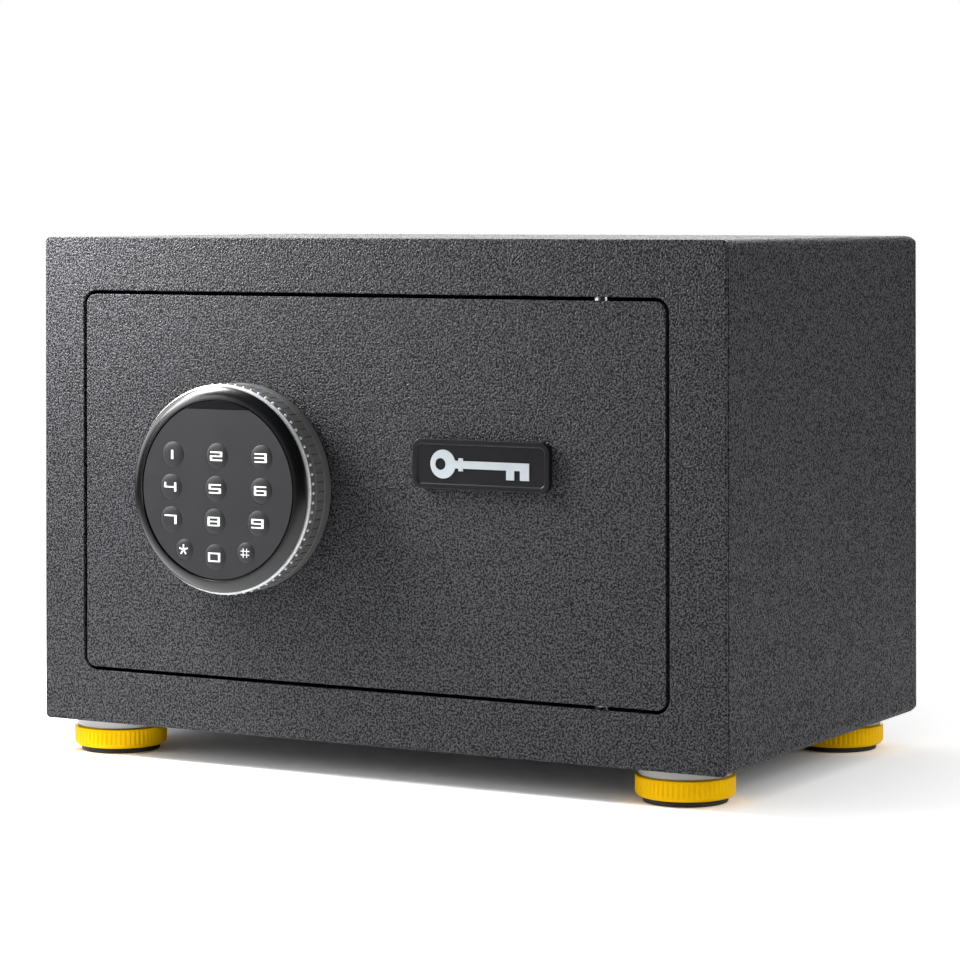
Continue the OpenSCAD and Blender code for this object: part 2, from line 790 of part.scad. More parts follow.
module battery_window() {
  w = box_wall;
  box(box_x0 + w, box_x1 - w, box_y1 - 1, cover_y1 + 1, box_z0 + w, box_z1 - w);
}

module lid_lugs() {
  for (x = [box_x0 - lid_lap - free_gap - lug_t, box_x1 + lid_lap + free_gap]) difference() {
    box(x, x + lug_t, cover_y1, lid_pin_y + lid_pin_r + 1, lid_pin_z - 3, lid_pin_z + 3);
    rod_x(x - 1, x + lug_t + 1, lid_pin_y, lid_pin_z, lid_pin_r + fit_gap);
  }
}

module door_cover() {
  t = cover_t;
  inner_r = cover_r - t;
  y0 = door_t - 1;
  color(dark_paint) in_case() {
    difference() {
      union() {
        upright_plate(cover_x0, cover_x1, cover_z0, cover_z1, door_t, cover_y1, cover_r);
        box(cover_x0, cover_x1, door_t, door_t + t, cover_z0 - flange_w, cover_z1 + flange_w);
      }
      upright_plate(cover_x0 + t, cover_x1 - t, cover_z0 + t, cover_z1 - t, y0, cover_y1 - t, inner_r);
      cover_screw_places() rod_y(0, door_t - 1, door_t + t + 1, 0, screw_r);
      for (side = [-1, 1]) {
        rod_x(cover_x0 - 1, cover_x0 + t + 1, bolt_y, dial_z + side * bolt_z, bolt_r + 1);
      }
      rod_y(reset_x, cover_y1 - t - 1, cover_y1 + 1, reset_z, reset_r + fit_gap);
      battery_window();
    }
    lid_lugs();
  }
}

module cover_screws() {
  color(bright) in_case() cover_screw_places() {
    rod_y(0, door_t - screw_depth, door_t + cover_t, 0, screw_r);
    difference() {
      rod_y(0, door_t + cover_t, door_t + cover_t + screw_head_t, 0, screw_head_r);
      for (a = [0, 90]) rotate([0, a, 0]) {
        box(-screw_r, screw_r, door_t + cover_t + 1, door_t + cover_t + screw_head_t + 1, -0.4, 0.4);
      }
    }
  }
}

// ---- Keypad on its fixed stem ----

module keypad_stem() {
  color(bright) on_dial() rotate_extrude() polygon([
    [stem_bore_r, -bridge_y1 - 3], [stem_r, -bridge_y1 - 3], [stem_r, housing_floor_h0 - stem_flange_t],
    [stem_flange_r, housing_floor_h0 - stem_flange_t], [stem_flange_r, housing_floor_h0],
    [stem_bore_r, housing_floor_h0]
  ]);
}

module keypad_housing() {
  color(black_gloss) on_dial() rotate_extrude() difference() {
    union() {
      translate([0, housing_floor_h0]) square([housing_r, bezel_h0 - housing_floor_h0 + 1]);
      translate([0, bezel_h0]) square([bezel_in_r, bezel_rise]);
      intersection() {
        translate([bezel_in_r, bezel_top - bezel_roll_r]) circle(bezel_roll_r);
        translate([0, bezel_h0]) square([bezel_r, bezel_rise]);
      }
    }
    translate([0, housing_floor_h0 - 1]) square([stem_bore_r, 4]);
    translate([0, housing_floor_h1]) square([ledge_r, bezel_top]);
    translate([0, keypad_h0]) square([bezel_in_r, bezel_top]);
  }
}

function low_key_place(side) =
  let (reach = keypad_r - low_key_inset)
  [low_key_x + side * reach * sin(low_key_angle), -reach * cos(low_key_angle), small_key_r];

function key_places() = concat(
  [for (row = key_rows, side = [-1, 0, 1]) [row[0] + side * row[1], row[2], key_r]],
  [low_key_place(-1)],
  [[low_key_x, zero_key_inset - keypad_r, key_r]],
  [low_key_place(1)]
);

module keypad_plate() {
  color(black_satin) on_dial() difference() {
    translate([0, 0, keypad_h0]) cylinder(r = keypad_r, h = keypad_t);
    translate([-keypad_r, window_z - window_gap, keypad_h0 - 1]) cube([2 * keypad_r, keypad_r, keypad_t + 2]);
    for (k = key_places()) {
      translate([k[0], k[1], keypad_h0 - 1]) cylinder(r = k[2] + fit_gap, h = keypad_t + 2);
    }
  }
}

module indicator_window() {
  color("black") on_dial() intersection() {
    translate([0, 0, keypad_h0]) cylinder(r = keypad_r, h = keypad_t - 0.2);
    translate([-keypad_r, window_z, keypad_h0 - 1]) cube([2 * keypad_r, keypad_r, keypad_t + 2]);
  }
}

module keypad_board() {
  color(board_green) on_dial() translate([0, 0, housing_floor_h1]) {
    cylinder(r = ledge_r - 1, h = keypad_board_t);
  }
}

// A domed key with a flange that keeps it behind the plate
module key(index) {
  place = key_places()[index];
  r = place[2];
  dome_r = (r * r + key_dome * key_dome) / (2 * key_dome);
  color(black_satin) on_dial() translate([place[0], place[1], 0]) {
    translate([0, 0, key_flange_h0]) cylinder(r = r + key_flange, h = key_flange_h1 - key_flange_h0);
    intersection() {
      translate([0, 0, key_flange_h0]) cylinder(r = r, h = dial_stand - key_flange_h0);
      translate([0, 0, dial_stand - dome_r]) sphere(dome_r);
    }
  }
}

// ---- Electrics behind the door ----

module solenoid() {
  x0 = sol_x - sol_size / 2;
  color(zinc) in_case() difference() {
    union() {
      box(x0, x0 + sol_size, chassis_y1, sol_y + sol_size / 2, sol_z0, sol_z0 + 2);
      box(x0, x0 + sol_size, chassis_y1, sol_y + sol_size / 2, sol_z0 + sol_h - 2, sol_z0 + sol_h);
      box(x0, x0 + sol_size, chassis_y1, chassis_y1 + 2, sol_z0, sol_z0 + sol_h);
      rod_z(sol_x, sol_y, sol_z0, sol_z0 + sol_h, coil_r);
    }
    rod_z(sol_x, sol_y, sol_z0 - 1, sol_z0 + sol_h - 2, plunger_r + fit_gap);
  }
}

module board_plug(x, z) {
  y1 = board_y0 + board_t;
  box(x - plug_size / 2, x + plug_size / 2, y1, y1 + plug_t, z - plug_size / 2, z + plug_size / 2);
}

module control_board() {
  y1 = board_y0 + board_t;
  foot_inset = 3;
  color(board_green) in_case() {
    box(board_x0, board_x0 + board_w, board_y0, y1, board_z0, board_z1);
    for (x = [board_x0 + foot_inset, box_x1 - foot_inset]) {
      rod_y(x, door_t, board_y0, board_z0 + foot_inset, 2);
      rod_y(x, door_t, board_y0, board_z1 - foot_inset, 2);
    }
    box(reset_x - 3, reset_x + 3, y1, y1 + switch_t, reset_z - 3, reset_z + 3);
    board_plug(keypad_plug_x, keypad_plug_z);
    board_plug(battery_plug_x, battery_plug_z);
    box(board_x0 + 14, board_x0 + 26, y1, y1 + 1.4, board_z0 + 6, board_z0 + 18);
    rod_y(box_x1 - 8, y1, y1 + 5, board_z1 - 8, 5);
  }
}

module battery_box() {
  w = box_wall;
  color(black_satin) in_case() difference() {
    box(box_x0, box_x1, box_y0, box_y1, box_z0, box_z1);
    box(box_x0 + w, box_x1 - w, box_y0 + w, box_y1 + 1, box_z0 + w, box_z1 - w);
  }
}

module battery_cells() {
  first_x = box_x0 + box_wall + cell_gap / 2;
  mid_z = (box_z0 + box_z1) / 2;
  y = box_y0 + box_wall + cell_r;
  cell_z = cell_r + cell_rows_gap / 2;
  color([0.72, 0.5, 0.25]) in_case() for (col = [0, 1], side = [-1, 1]) {
    x = first_x + col * (cell_l + cell_gap);
    rod_x(x, x + cell_l - 1, y, mid_z + side * cell_z, cell_r);
    rod_x(x + cell_l - 1, x + cell_l, y, mid_z + side * cell_z, cell_r / 3);
  }
}

module keypad_lead() {
  color("black") in_case() tube(curve(keypad_lead_points, lead_steps), lead_r, lead_sides, [0, 0, 1]);
}

module battery_lead() {
  color("firebrick") in_case() tube(curve(battery_lead_points, lead_steps), lead_r, lead_sides, [1, 0, 0]);
}

// ---- Turning ring and crank ----

// The grooved band is a little smaller than the smooth band below it, and its core lies inside the grooves
module turn_ring() {
  grip_land = 1 - groove_w * groove_count / (2 * PI * ring_r);
  grip_r = ring_r - ring_step;
  core_wall = ring_wall - groove_depth - 2 * ring_step;
  color(dark_paint) on_dial() {
    rotate_extrude() {
      translate([spindle_r, web_h0]) square([ring_in_r - spindle_r + 1, web_h1 - web_h0]);
      translate([ring_in_r, ring_foot]) square([core_wall, ring_h]);
      translate([ring_in_r, ring_foot]) square([ring_wall, ring_band_h]);
      translate([ring_in_r, groove_h1]) square([ring_wall - 2 * ring_step, ring_top - groove_h1]);
    }
    translate([0, 0, groove_h0]) linear_extrude(groove_h1 - groove_h0) difference() {
      polygon(grip_outline(grip_r, groove_depth, groove_count, grip_land));
      circle(ring_in_r + core_wall / 2);
    }
  }
}

module trim_ring() {
  color(bright) on_dial() translate([0, 0, ring_top]) difference() {
    cylinder(r = ring_r + ring_step, h = trim_h);
    translate([0, 0, -1]) cylinder(r = ring_in_r, h = trim_h + 2);
  }
}

module ring_spindle() {
  color(bright) in_case() difference() {
    rod_y(dial_x, -web_h1, crank_y1, dial_z, spindle_r);
    rod_y(dial_x, -web_h1 - 1, crank_y1 + 1, dial_z, stem_r + fit_gap);
  }
}

module crank_disc() {
  color(zinc) in_case() {
    difference() {
      rod_y(dial_x, crank_y0, crank_y1, dial_z, crank_disc_r);
      rod_y(dial_x, crank_y0 - 1, crank_y1 + 1, dial_z, spindle_r);
    }
    rod_y(dial_x + pin_x, crank_y0, pin_end, dial_z + pin_z, crank_pin_r);
  }
}

// ---- Bolts ----

module bolt_carriage() {
  y0 = carriage_y0;
  y1 = carriage_y1;
  z0 = dial_z - carriage_half_h;
  z1 = dial_z + carriage_half_h;
  pin_slot = crank_pin_r + slot_slack;
  slot_mid = dial_x + pin_x;
  color(zinc) in_case() difference() {
    union() {
      box(bolt_tail_x, carriage_x1, y0, y1, z0, z1);
      box(bolt_tail_x, bolt_tail_x + plate_t, y0, carriage_flange_y1, z0, z1);
      box(carriage_x1 - 1, tail_x1, y0, y1, tail_z1 - tail_h, tail_z1);
      box(bridge_x1 + throw + 2, tail_x1, y0, tail_shelf_y1, tail_z1 - plate_t, tail_z1);
    }
    slot_x(dial_x, dial_x + throw, y0 - 1, y1 + 1, dial_z, stem_slot_h);
    translate([slot_mid - pin_slot, y0 - 1, dial_z + pin_z - pin_slot]) {
      cube([2 * pin_slot, plate_t + 2, crank_arm - pin_z + 2 * pin_slot]);
    }
    for (side = [-1, 1]) {
      slot_x(post_x, post_x + throw, y0 - 1, y1 + 1, dial_z + side * post_z, post_r + 2 * fit_gap);
      rod_x(bolt_tail_x - 1, bolt_tail_x + plate_t + 1, bolt_y, dial_z + side * bolt_z, spigot_r);
    }
    rod_z(sol_x + throw, sol_y, tail_z1 - plate_t - 1, tail_z1 + 1, plunger_r + 0.4);
  }
}

module locking_bolts() {
  lead_in = 1;
  color(bright) in_case() for (side = [-1, 1]) translate([bolt_tip_x, bolt_y, dial_z + side * bolt_z]) {
    rotate([0, 90, 0]) rotate_extrude() polygon([
      [0, 0], [bolt_r - lead_in, 0], [bolt_r, lead_in], [bolt_r, bolt_l], [spigot_r, bolt_l],
      [spigot_r, bolt_l + spigot_l], [0, bolt_l + spigot_l]
    ]);
  }
}

// ---- Solenoid plunger ----

module solenoid_plunger() {
  color(bright) in_case() {
    rod_z(sol_x, sol_y, tail_z1 + free_gap, sol_z0 + sol_h - 2 - plunger_pull - 2, plunger_r);
    rod_z(sol_x, sol_y, collar_z0, collar_z1, collar_disc_r);
  }
}

module plunger_spring() {
  steps = 16 * spring_turns;
  lift = spring_l - 2 * spring_wire_r;
  route = [
    for (i = [0:steps])
      let (a = 360 * spring_turns * i / steps)
      [
        sol_x + spring_mean_r * cos(a), sol_y + spring_mean_r * sin(a),
        collar_z1 + spring_wire_r + lift * i / steps
      ]
  ];
  color(bright) in_case() tube(route, spring_wire_r, 6, [0, 0, 1]);
}

// ---- Emergency lock ----

module emergency_lock_barrel() {
  color(bright) in_case() difference() {
    union() {
      rod_y(badge_x, -lock_head_t, 0, badge_z, lock_head_r);
      rod_y(badge_x, 0, barrel_y1, badge_z, barrel_r);
      rod_y(badge_x, door_t, door_t + nut_t, badge_z, nut_r);
    }
    rod_y(badge_x, -lock_head_t - 1, barrel_y1 + 1, badge_z, plug_r + fit_gap);
  }
}

module emergency_lock_plug() {
  color("goldenrod") in_case() difference() {
    union() {
      rod_y(badge_x, -lock_head_t + 0.2, cam_y0, badge_z, plug_r);
      rod_y(badge_x, cam_y0, cam_y1 + 1, badge_z, cam_tail_r);
    }
    translate([badge_x - keyway_w / 2, -lock_head_t, badge_z - keyway_h / 2]) {
      cube([keyway_w, keyway_d, keyway_h]);
    }
  }
}

module emergency_lock_cam() {
  color(zinc) in_case() difference() {
    union() {
      rod_y(badge_x, cam_y0, cam_y1, badge_z, plug_r + 1.5);
      box(badge_x - cam_half_w, badge_x + cam_half_w, cam_y0, cam_y1, badge_z - cam_l, badge_z);
      rod_y(badge_x, cam_y0, cam_y1, badge_z - cam_l, cam_half_w);
    }
    rod_y(badge_x, cam_y0 - 1, cam_y1 + 1, badge_z, cam_tail_r);
  }
}

module badge_block(inset, h0, h1) {
  x = badge_w / 2 - inset;
  z = badge_h / 2 - inset;
  r = max(badge_r - inset, 0.4);
  upright_plate(badge_x - x, badge_x + x, badge_z - z, badge_z + z, -h1, -h0, r);
}

module badge_cover() {
  peg_root = badge_field_drop + badge_floor / 2;
  color(black_gloss) in_case() {
    difference() {
      badge_block(0, badge_back_gap, badge_t);
      badge_block(badge_rim_w, badge_t - badge_field_drop, badge_t + 1);
      badge_block(badge_wall, -1, badge_t - badge_field_drop - badge_floor);
    }
    for (side = [-1, 1]) {
      rod_y(badge_x + side * peg_x, peg_root - badge_t, door_t - 0.5, badge_z, peg_r);
    }
  }
}

// ---- Battery lid and reset button ----

module battery_lid() {
  x0 = box_x0 - lid_lap;
  x1 = box_x1 + lid_lap;
  y0 = cover_y1 + lid_gap;
  color(black_satin) in_case() {
    box(x0, x1, y0, y0 + lid_t, box_z0 - lid_lap, lid_pin_z);
    rod_x(x0 - free_gap - lug_t, x1 + free_gap + lug_t, lid_pin_y, lid_pin_z, lid_pin_r);
    box(x0, x1, y0 + lid_t - 0.8, lid_pin_y, lid_pin_z - lid_pin_r, lid_pin_z);
  }
}

module reset_button() {
  color("firebrick") in_case() {
    rod_y(reset_x, reset_flange_y0, cover_y1 + reset_proud, reset_z, reset_r);
    rod_y(reset_x, reset_flange_y0, reset_flange_y0 + 1.5, reset_z, reset_r + 1.5);
    rod_y(reset_x, board_y0 + board_t + switch_t + reset_travel + 0.1, reset_flange_y0, reset_z, 1.5);
  }
}

front_frame();
case_wrap();
rear_panel();
hinge_brackets();
bolt_keeper();
floor_mat();
foot_discs();
foot_nuts();
foot_collar(foot_places[0]);  // foot_collar_front_left
foot_collar(foot_places[1]);  // foot_collar_front_right
foot_collar(foot_places[2]);  // foot_collar_rear_left
foot_collar(foot_places[3]);  // foot_collar_rear_right
foot_pad(foot_places[0]);  // foot_pad_front_left
foot_pad(foot_places[1]);  // foot_pad_front_right
foot_pad(foot_places[2]);  // foot_pad_rear_left
foot_pad(foot_places[3]);  // foot_pad_rear_right
door_plate();
hinge_blocks();
hinge_pins();
lock_chassis();
stem_bridge();
door_cover();
cover_screws();
keypad_stem();
keypad_housing();
keypad_plate();
indicator_window();
keypad_board();
solenoid();
emergency_lock_barrel();
control_board();
battery_box();
battery_cells();
keypad_lead();
battery_lead();
turn_ring();
trim_ring();
ring_spindle();
crank_disc();
bolt_carriage();
locking_bolts();
solenoid_plunger();
plunger_spring();
key(0);  // key_1
key(1);  // key_2
key(2);  // key_3
key(3);  // key_4
key(4);  // key_5
key(5);  // key_6
key(6);  // key_7
key(7);  // key_8
key(8);  // key_9
key(9);  // key_star
key(10);  // key_0
key(11);  // key_hash
emergency_lock_plug();
emergency_lock_cam();
badge_cover();
battery_lid();
reset_button();
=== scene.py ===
"""Dressed model of a small hotel-room safe: its visible pieces, their finishes, a plain stage and a camera.

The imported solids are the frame. Pieces that need softer edges or finer detail are modelled here over them and
ride on the same bodies; the others keep their solids and get a finish.
"""

import json
import math

import bpy
from bpy.props import FloatProperty, FloatVectorProperty, IntProperty, PointerProperty
from bpy.types import Operator, Panel, PropertyGroup
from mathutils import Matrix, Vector

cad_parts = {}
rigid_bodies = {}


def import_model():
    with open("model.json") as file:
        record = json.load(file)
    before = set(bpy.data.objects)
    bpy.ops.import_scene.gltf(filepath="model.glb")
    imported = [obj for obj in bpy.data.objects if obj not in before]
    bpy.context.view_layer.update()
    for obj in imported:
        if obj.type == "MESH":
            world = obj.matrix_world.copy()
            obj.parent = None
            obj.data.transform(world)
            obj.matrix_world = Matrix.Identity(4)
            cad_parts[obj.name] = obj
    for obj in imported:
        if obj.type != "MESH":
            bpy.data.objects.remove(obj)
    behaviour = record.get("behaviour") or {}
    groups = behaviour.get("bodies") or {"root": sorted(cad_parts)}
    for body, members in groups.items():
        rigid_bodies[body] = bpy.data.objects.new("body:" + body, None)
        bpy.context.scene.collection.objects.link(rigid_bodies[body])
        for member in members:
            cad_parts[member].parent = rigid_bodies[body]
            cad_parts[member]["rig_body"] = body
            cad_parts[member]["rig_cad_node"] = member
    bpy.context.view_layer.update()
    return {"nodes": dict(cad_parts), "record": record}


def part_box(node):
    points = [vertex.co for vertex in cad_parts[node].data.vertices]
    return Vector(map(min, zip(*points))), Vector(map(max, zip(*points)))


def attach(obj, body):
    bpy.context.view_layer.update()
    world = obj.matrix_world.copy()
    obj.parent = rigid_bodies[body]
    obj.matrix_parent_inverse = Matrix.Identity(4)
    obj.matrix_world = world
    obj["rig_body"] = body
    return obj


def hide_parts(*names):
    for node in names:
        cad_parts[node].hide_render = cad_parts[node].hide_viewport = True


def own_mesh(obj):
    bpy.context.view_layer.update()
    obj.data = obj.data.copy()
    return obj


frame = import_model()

bl_info = {
    "name": "Hotel room safe",
    "version": (1, 0, 0),
    "blender": (4, 2, 0),
    "location": "View3D > Sidebar > Room safe",
    "description": "Builds the dressed pieces, finishes and stage of a room safe",
    "category": "Add Mesh",
}

MM = 0.001
UP = (0.0, 0.0, 1.0)

# Boxes of the solids that the dressed pieces are set out from, and where the lock axis meets the front
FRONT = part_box("front_frame")
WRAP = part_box("case_wrap")
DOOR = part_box("door_plate")
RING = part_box("turn_ring")
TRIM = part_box("trim_ring")
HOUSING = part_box("keypad_housing")
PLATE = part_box("keypad_plate")
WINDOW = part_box("indicator_window")
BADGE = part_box("badge_cover")
FRONT_Y = FRONT[0].y
DIAL = Vector(((RING[0].x + RING[1].x) / 2, FRONT_Y, (RING[0].z + RING[1].z) / 2))

# Holes, pins and walls that match the solids they meet
STUD_HOLE_R = 4.5 * MM
SPINDLE_HOLE_R = 8.05 * MM
LOCK_HOLE_R = 6.5 * MM
PEG_R = 1.5 * MM
PEG_HOLE_R = 1.55 * MM
PEG_INSET = 7 * MM
RING_BORE_R = 8.0 * MM
RING_WEB_LOW = 1.0 * MM
RING_WEB_HIGH = 3.5 * MM
STEM_HOLE_R = 3 * MM
HOUSING_FLOOR = 2 * MM
KEY_FLANGE = 0.3 * MM
FOOT_DISC_R = 18 * MM
FOOT_BOSS_R = 6 * MM
COLLAR_BORE_R = 6.05 * MM
COLLAR_BORE_DEPTH = 4.6 * MM
STUD_R = 4 * MM
BADGE_WALL = 1.4 * MM
BADGE_FACE = 1.3 * MM

CORNERS = ("front_left", "front_right", "rear_left", "rear_right")
KEYS = ("1", "2", "3", "4", "5", "6", "7", "8", "9", "star", "0", "hash")


def linear(hex_colour):
    """An sRGB colour written as #RRGGBB, as the linear numbers that shaders take."""
    parts = [int(hex_colour[i:i + 2], 16) / 255 for i in (1, 3, 5)]
    return tuple(c / 12.92 if c <= 0.04045 else ((c + 0.055) / 1.055) ** 2.4 for c in parts)


def length(name, description, default_mm):
    return FloatProperty(name=name, description=description, default=default_mm * MM,
                         min=0.0, subtype="DISTANCE", unit="LENGTH", precision=4)


def colour(name, description, hex_colour):
    return FloatVectorProperty(name=name, description=description, default=linear(hex_colour),
                               size=3, min=0.0, max=1.0, subtype="COLOR")


class SafeSizes(PropertyGroup):
    """Sizes of the detail that the dressed pieces add to the solids."""

    door_gap: length("Door gap", "Gap round the door", 1.5)
    opening_radius: length("Opening radius", "Corner radius of the door opening", 6.0)
    door_radius: length("Door radius", "Corner radius of the door plate", 4.2)
    case_radius: length("Case radius", "Bend radius of the case's long edges", 3.5)
    front_radius: length("Front radius", "Corner radius of the front plate", 2.0)
    sheet: length("Sheet", "Thickness of the case's sheet", 2.0)
    plate_edge: length("Plate edge", "Rounding that the coat leaves on the plates' edges", 0.8)
    seam: length("Seam", "Gap behind the front plate", 0.6)
    seam_edge: length("Seam edge", "Rounding of the wrapped sheet's front end", 0.9)
    ring_wall: length("Ring wall", "Thickness of the lock ring's wall", 3.6)
    ring_band: length("Ring band", "Height of the plain band at the lock ring's foot", 4.9)
    ring_lip: length("Ring lip", "Height of the plain band over the grip grooves", 4.1)
    ring_step: length("Ring step", "How far each band stands back from the one below", 0.15)
    groove_depth: length("Groove depth", "Depth of the grip grooves", 0.5)
    bead: length("Bead", "Radius of the bright beads round the lock ring", 0.68)
    housing_wall: length("Housing wall", "Thickness of the keypad housing's wall", 1.5)
    seat_gap: length("Seat gap", "Gap round the keypad plate", 0.6)
    bezel_rise: length("Bezel rise", "Height of the bezel's convex face", 2.9)
    bezel_edge: length("Bezel edge", "Height of the bezel's upright edge", 0.7)
    key_lip: length("Key lip", "How far a key's hidden flange reaches past its cap", 0.7)
    key_dome: length("Key dome", "How far a key's middle stands over the keypad", 0.6)
    glyph_height: length("Character height", "Height of the keys' characters", 3.7)
    glyph_width: length("Character width", "Width of the keys' characters", 5.8)
    glyph_lift: length("Character lift", "How far the print stands on the keys", 0.03)
    glyph_depth: length("Character depth", "How far the print is let into the keys", 0.12)
    glyph_corner: length("Character corner", "Rounding of the characters' corners", 0.3)
    star_reach: length("Star", "Length of the star's arms", 2.1)
    badge_rim: length("Badge rim", "Width of the badge's raised rim", 1.9)
    badge_drop: length("Badge field", "How far the badge's field lies below its rim", 0.5)
    flute_depth: length("Flute depth", "Depth of the foot collars' flutes", 0.5)
    grain: length("Coat grain", "Size of the coat's grains", 0.72)
    grain_depth: length("Coat depth", "How far the coat's grains stand up", 0.5)
    groove_count: IntProperty(
        name="Grooves", description="Number of grip grooves", default=70, min=12, max=120)
    flute_count: IntProperty(
        name="Flutes", description="Number of flutes round a foot collar", default=60, min=12, max=100)


class SafeColours(PropertyGroup):
    """Colours of the finishes, as they look in plain daylight; the colour of the coat's valleys is painted
    shade between its grains.
    """

    coat_peak: colour("Coat grain", "Top of the coat's grains", "#4A4A4E")
    # Painted shade: the coat's valleys are coloured near black, standing in for the shade that falls between
    # its grains
    coat_valley_shade: colour("Coat valleys", "Between the coat's grains", "#030304")
    inner_coat: colour("Inner coat", "Fine coat of the inner cover", "#323235")
    ring: colour("Lock ring", "Moulded plastic of the lock ring", "#5E5E5D")
    keypad: colour("Keypad", "Soft plastic of the keypad and keys", "#28282B")
    bezel: colour("Bezel", "Polished plastic round the keypad", "#060607")
    badge: colour("Badge", "Moulded plastic of the badge", "#121215")
    silver_print: colour("Silver print", "Raised sign on the badge", "#C3CBD0")
    white_print: colour("White print", "Characters on the keys", "#F4F4F2")
    collar: colour("Foot collar", "Moulded plastic of the foot collars", "#FFC600")
    disc: colour("Foot disc", "Moulded plastic of the foot discs", "#B6B6B4")
    pad: colour("Foot pad", "Rubber of the foot pads", "#0B0906")
    felt: colour("Felt", "Felt mat in the case", "#2E2E31")
    zinc: colour("Zinc", "Zinc plate on the bolt work", "#B9BBB8")
    steel: colour("Steel", "Turned and polished steel", "#C9CBCE")
    chrome: colour("Chrome", "Chrome plate of the trim", "#CFD1D4")
    brass: colour("Brass", "Turned brass of the emergency lock", "#C9A04E")
    board: colour("Circuit board", "Lacquer of the circuit boards", "#1F5A38")
    red: colour("Red plastic", "Reset button and battery lead", "#B3201A")


# ---- Modelling by hand, in code ----

def deselect():
    if bpy.context.mode != "OBJECT":
        bpy.ops.object.mode_set(mode="OBJECT")
    bpy.ops.object.select_all(action="DESELECT")


def choose(piece):
    """Makes a piece the one that operators work on."""
    deselect()
    piece.select_set(True)
    bpy.context.view_layer.objects.active = piece


def edit(piece, kind="VERT"):
    """Opens a piece for editing, with all of it selected."""
    choose(piece)
    bpy.ops.object.mode_set(mode="EDIT")
    bpy.ops.mesh.select_mode(type=kind)
    bpy.ops.mesh.select_all(action="SELECT")


def weld():
    """Merges the open mesh's corners that lie on each other, turns its faces outwards and closes it."""
    bpy.ops.mesh.select_all(action="SELECT")
    bpy.ops.mesh.remove_doubles(threshold=1e-6)
    bpy.ops.mesh.normals_make_consistent(inside=False)
    deselect()


def grow(factor, height=0):
    """Scales the selection of the open mesh away from the Z axis, at a height."""
    bpy.ops.transform.resize(value=(factor, factor, 1), center_override=(0, 0, height))


def settle(piece, place=(0, 0, 0), turn=(0, 0, 0)):
    """Moves and turns a piece, and puts its place into its mesh."""
    choose(piece)
    piece.location = Vector(place) + piece.location
    piece.rotation_euler = turn
    bpy.ops.object.transform_apply(location=True, rotation=True, scale=True)
    return piece


def name_it(name):
    piece = bpy.context.active_object
    piece.name = piece.data.name = name
    return piece


def mark(piece, kind, test):
    """Opens a piece for editing, with those faces, edges or corners selected that pass the test."""
    edit(piece, kind)
    bpy.ops.mesh.select_all(action="DESELECT")
    bpy.ops.object.mode_set(mode="OBJECT")
    points = piece.data.vertices
    if kind == "FACE":
        for face in piece.data.polygons:
            face.select = bool(test(face.center, face.normal))
    elif kind == "EDGE":
        for edge in piece.data.edges:
            a, b = (points[i].co for i in edge.vertices)
            edge.select = bool(test((a + b) / 2, (b - a).normalized()))
    else:
        for point in points:
            point.select = bool(test(point.co, point.normal))
    bpy.ops.object.mode_set(mode="EDIT")


def modify(piece, kind, **settings):
    """Adds a modifier with its settings and applies it."""
    choose(piece)
    modifier = piece.modifiers.new(kind.title(), kind)
    for key, value in settings.items():
        setattr(modifier, key, value)
    bpy.ops.object.modifier_apply(modifier=modifier.name)
    return piece


def smooth(piece, degrees=35):
    choose(piece)
    bpy.ops.object.shade_smooth_by_angle(angle=math.radians(degrees))
    return piece


def round_edges(piece, width, steps=3, degrees=40):
    """Rounds every edge that is sharper than the angle, and keeps the faces between them flat."""
    modify(piece, "BEVEL", width=width, segments=steps, limit_method="ANGLE",
           angle_limit=math.radians(degrees), use_clamp_overlap=True, miter_outer="MITER_ARC")
    smooth(piece)
    return modify(piece, "WEIGHTED_NORMAL", keep_sharp=True)


def block(name, low, high):
    low, high = Vector(low), Vector(high)
    bpy.ops.mesh.primitive_cube_add(size=1, location=(low + high) / 2, scale=high - low)
    return settle(name_it(name))


def slab(name, low, high, radius, steps=8):
    """A block whose four edges from front to back are rounded."""
    piece = block(name, low, high)
    mark(piece, "EDGE", lambda middle, way: abs(way.y) > 0.9)
    bpy.ops.mesh.bevel(offset=radius, segments=steps, affect="EDGES")
    deselect()
    return piece


def rod(name, start, end, radius, sides=48):
    start, end = Vector(start), Vector(end)
    bpy.ops.mesh.primitive_cylinder_add(vertices=sides, radius=radius, depth=(end - start).length)
    piece = name_it(name)
    return settle(piece, (start + end) / 2, (end - start).to_track_quat("Z", "Y").to_euler())


def carve(piece, *cutters):
    """Cuts the cutters out of a piece, and takes them away."""
    for cutter in cutters:
        modify(piece, "BOOLEAN", object=cutter, operation="DIFFERENCE", solver="EXACT")
        bpy.data.objects.remove(cutter)
    return piece


def join(name, *pieces):
    """Makes several pieces one."""
    deselect()
    for piece in pieces:
        piece.select_set(True)
    bpy.context.view_layer.objects.active = pieces[0]
    bpy.ops.object.join()
    return name_it(name)


def turned(name, sides, outline):
    """A piece turned round Z: a circle at its outline's first radius and height, drawn on to the others."""
    (radius, height), rest = outline[0], outline[1:]
    bpy.ops.mesh.primitive_circle_add(vertices=sides, radius=radius, location=(0, 0, height))
    piece = settle(name_it(name))
    edit(piece, "EDGE")
    for next_radius, next_height in rest:
        bpy.ops.mesh.extrude_edges_move(TRANSFORM_OT_translate={"value": (0, 0, next_height - height)})
        grow(next_radius / radius, next_height)
        radius, height = next_radius, next_height
    weld()
    return smooth(piece)


def arc(centre, radius, start, end, steps):
    """Points of a fillet in an outline, as radius and height; the angles are in degrees."""
    angles = [math.radians(start + (end - start) * i / steps) for i in range(steps + 1)]
    return [(centre[0] + radius * math.cos(a), centre[1] + radius * math.sin(a)) for a in angles]


def copy_of(piece, name):
    """Another piece like this one, with a mesh of its own."""
    twin = piece.copy()
    twin.data = piece.data.copy()
    bpy.context.collection.objects.link(twin)
    twin.name = twin.data.name = name
    return twin


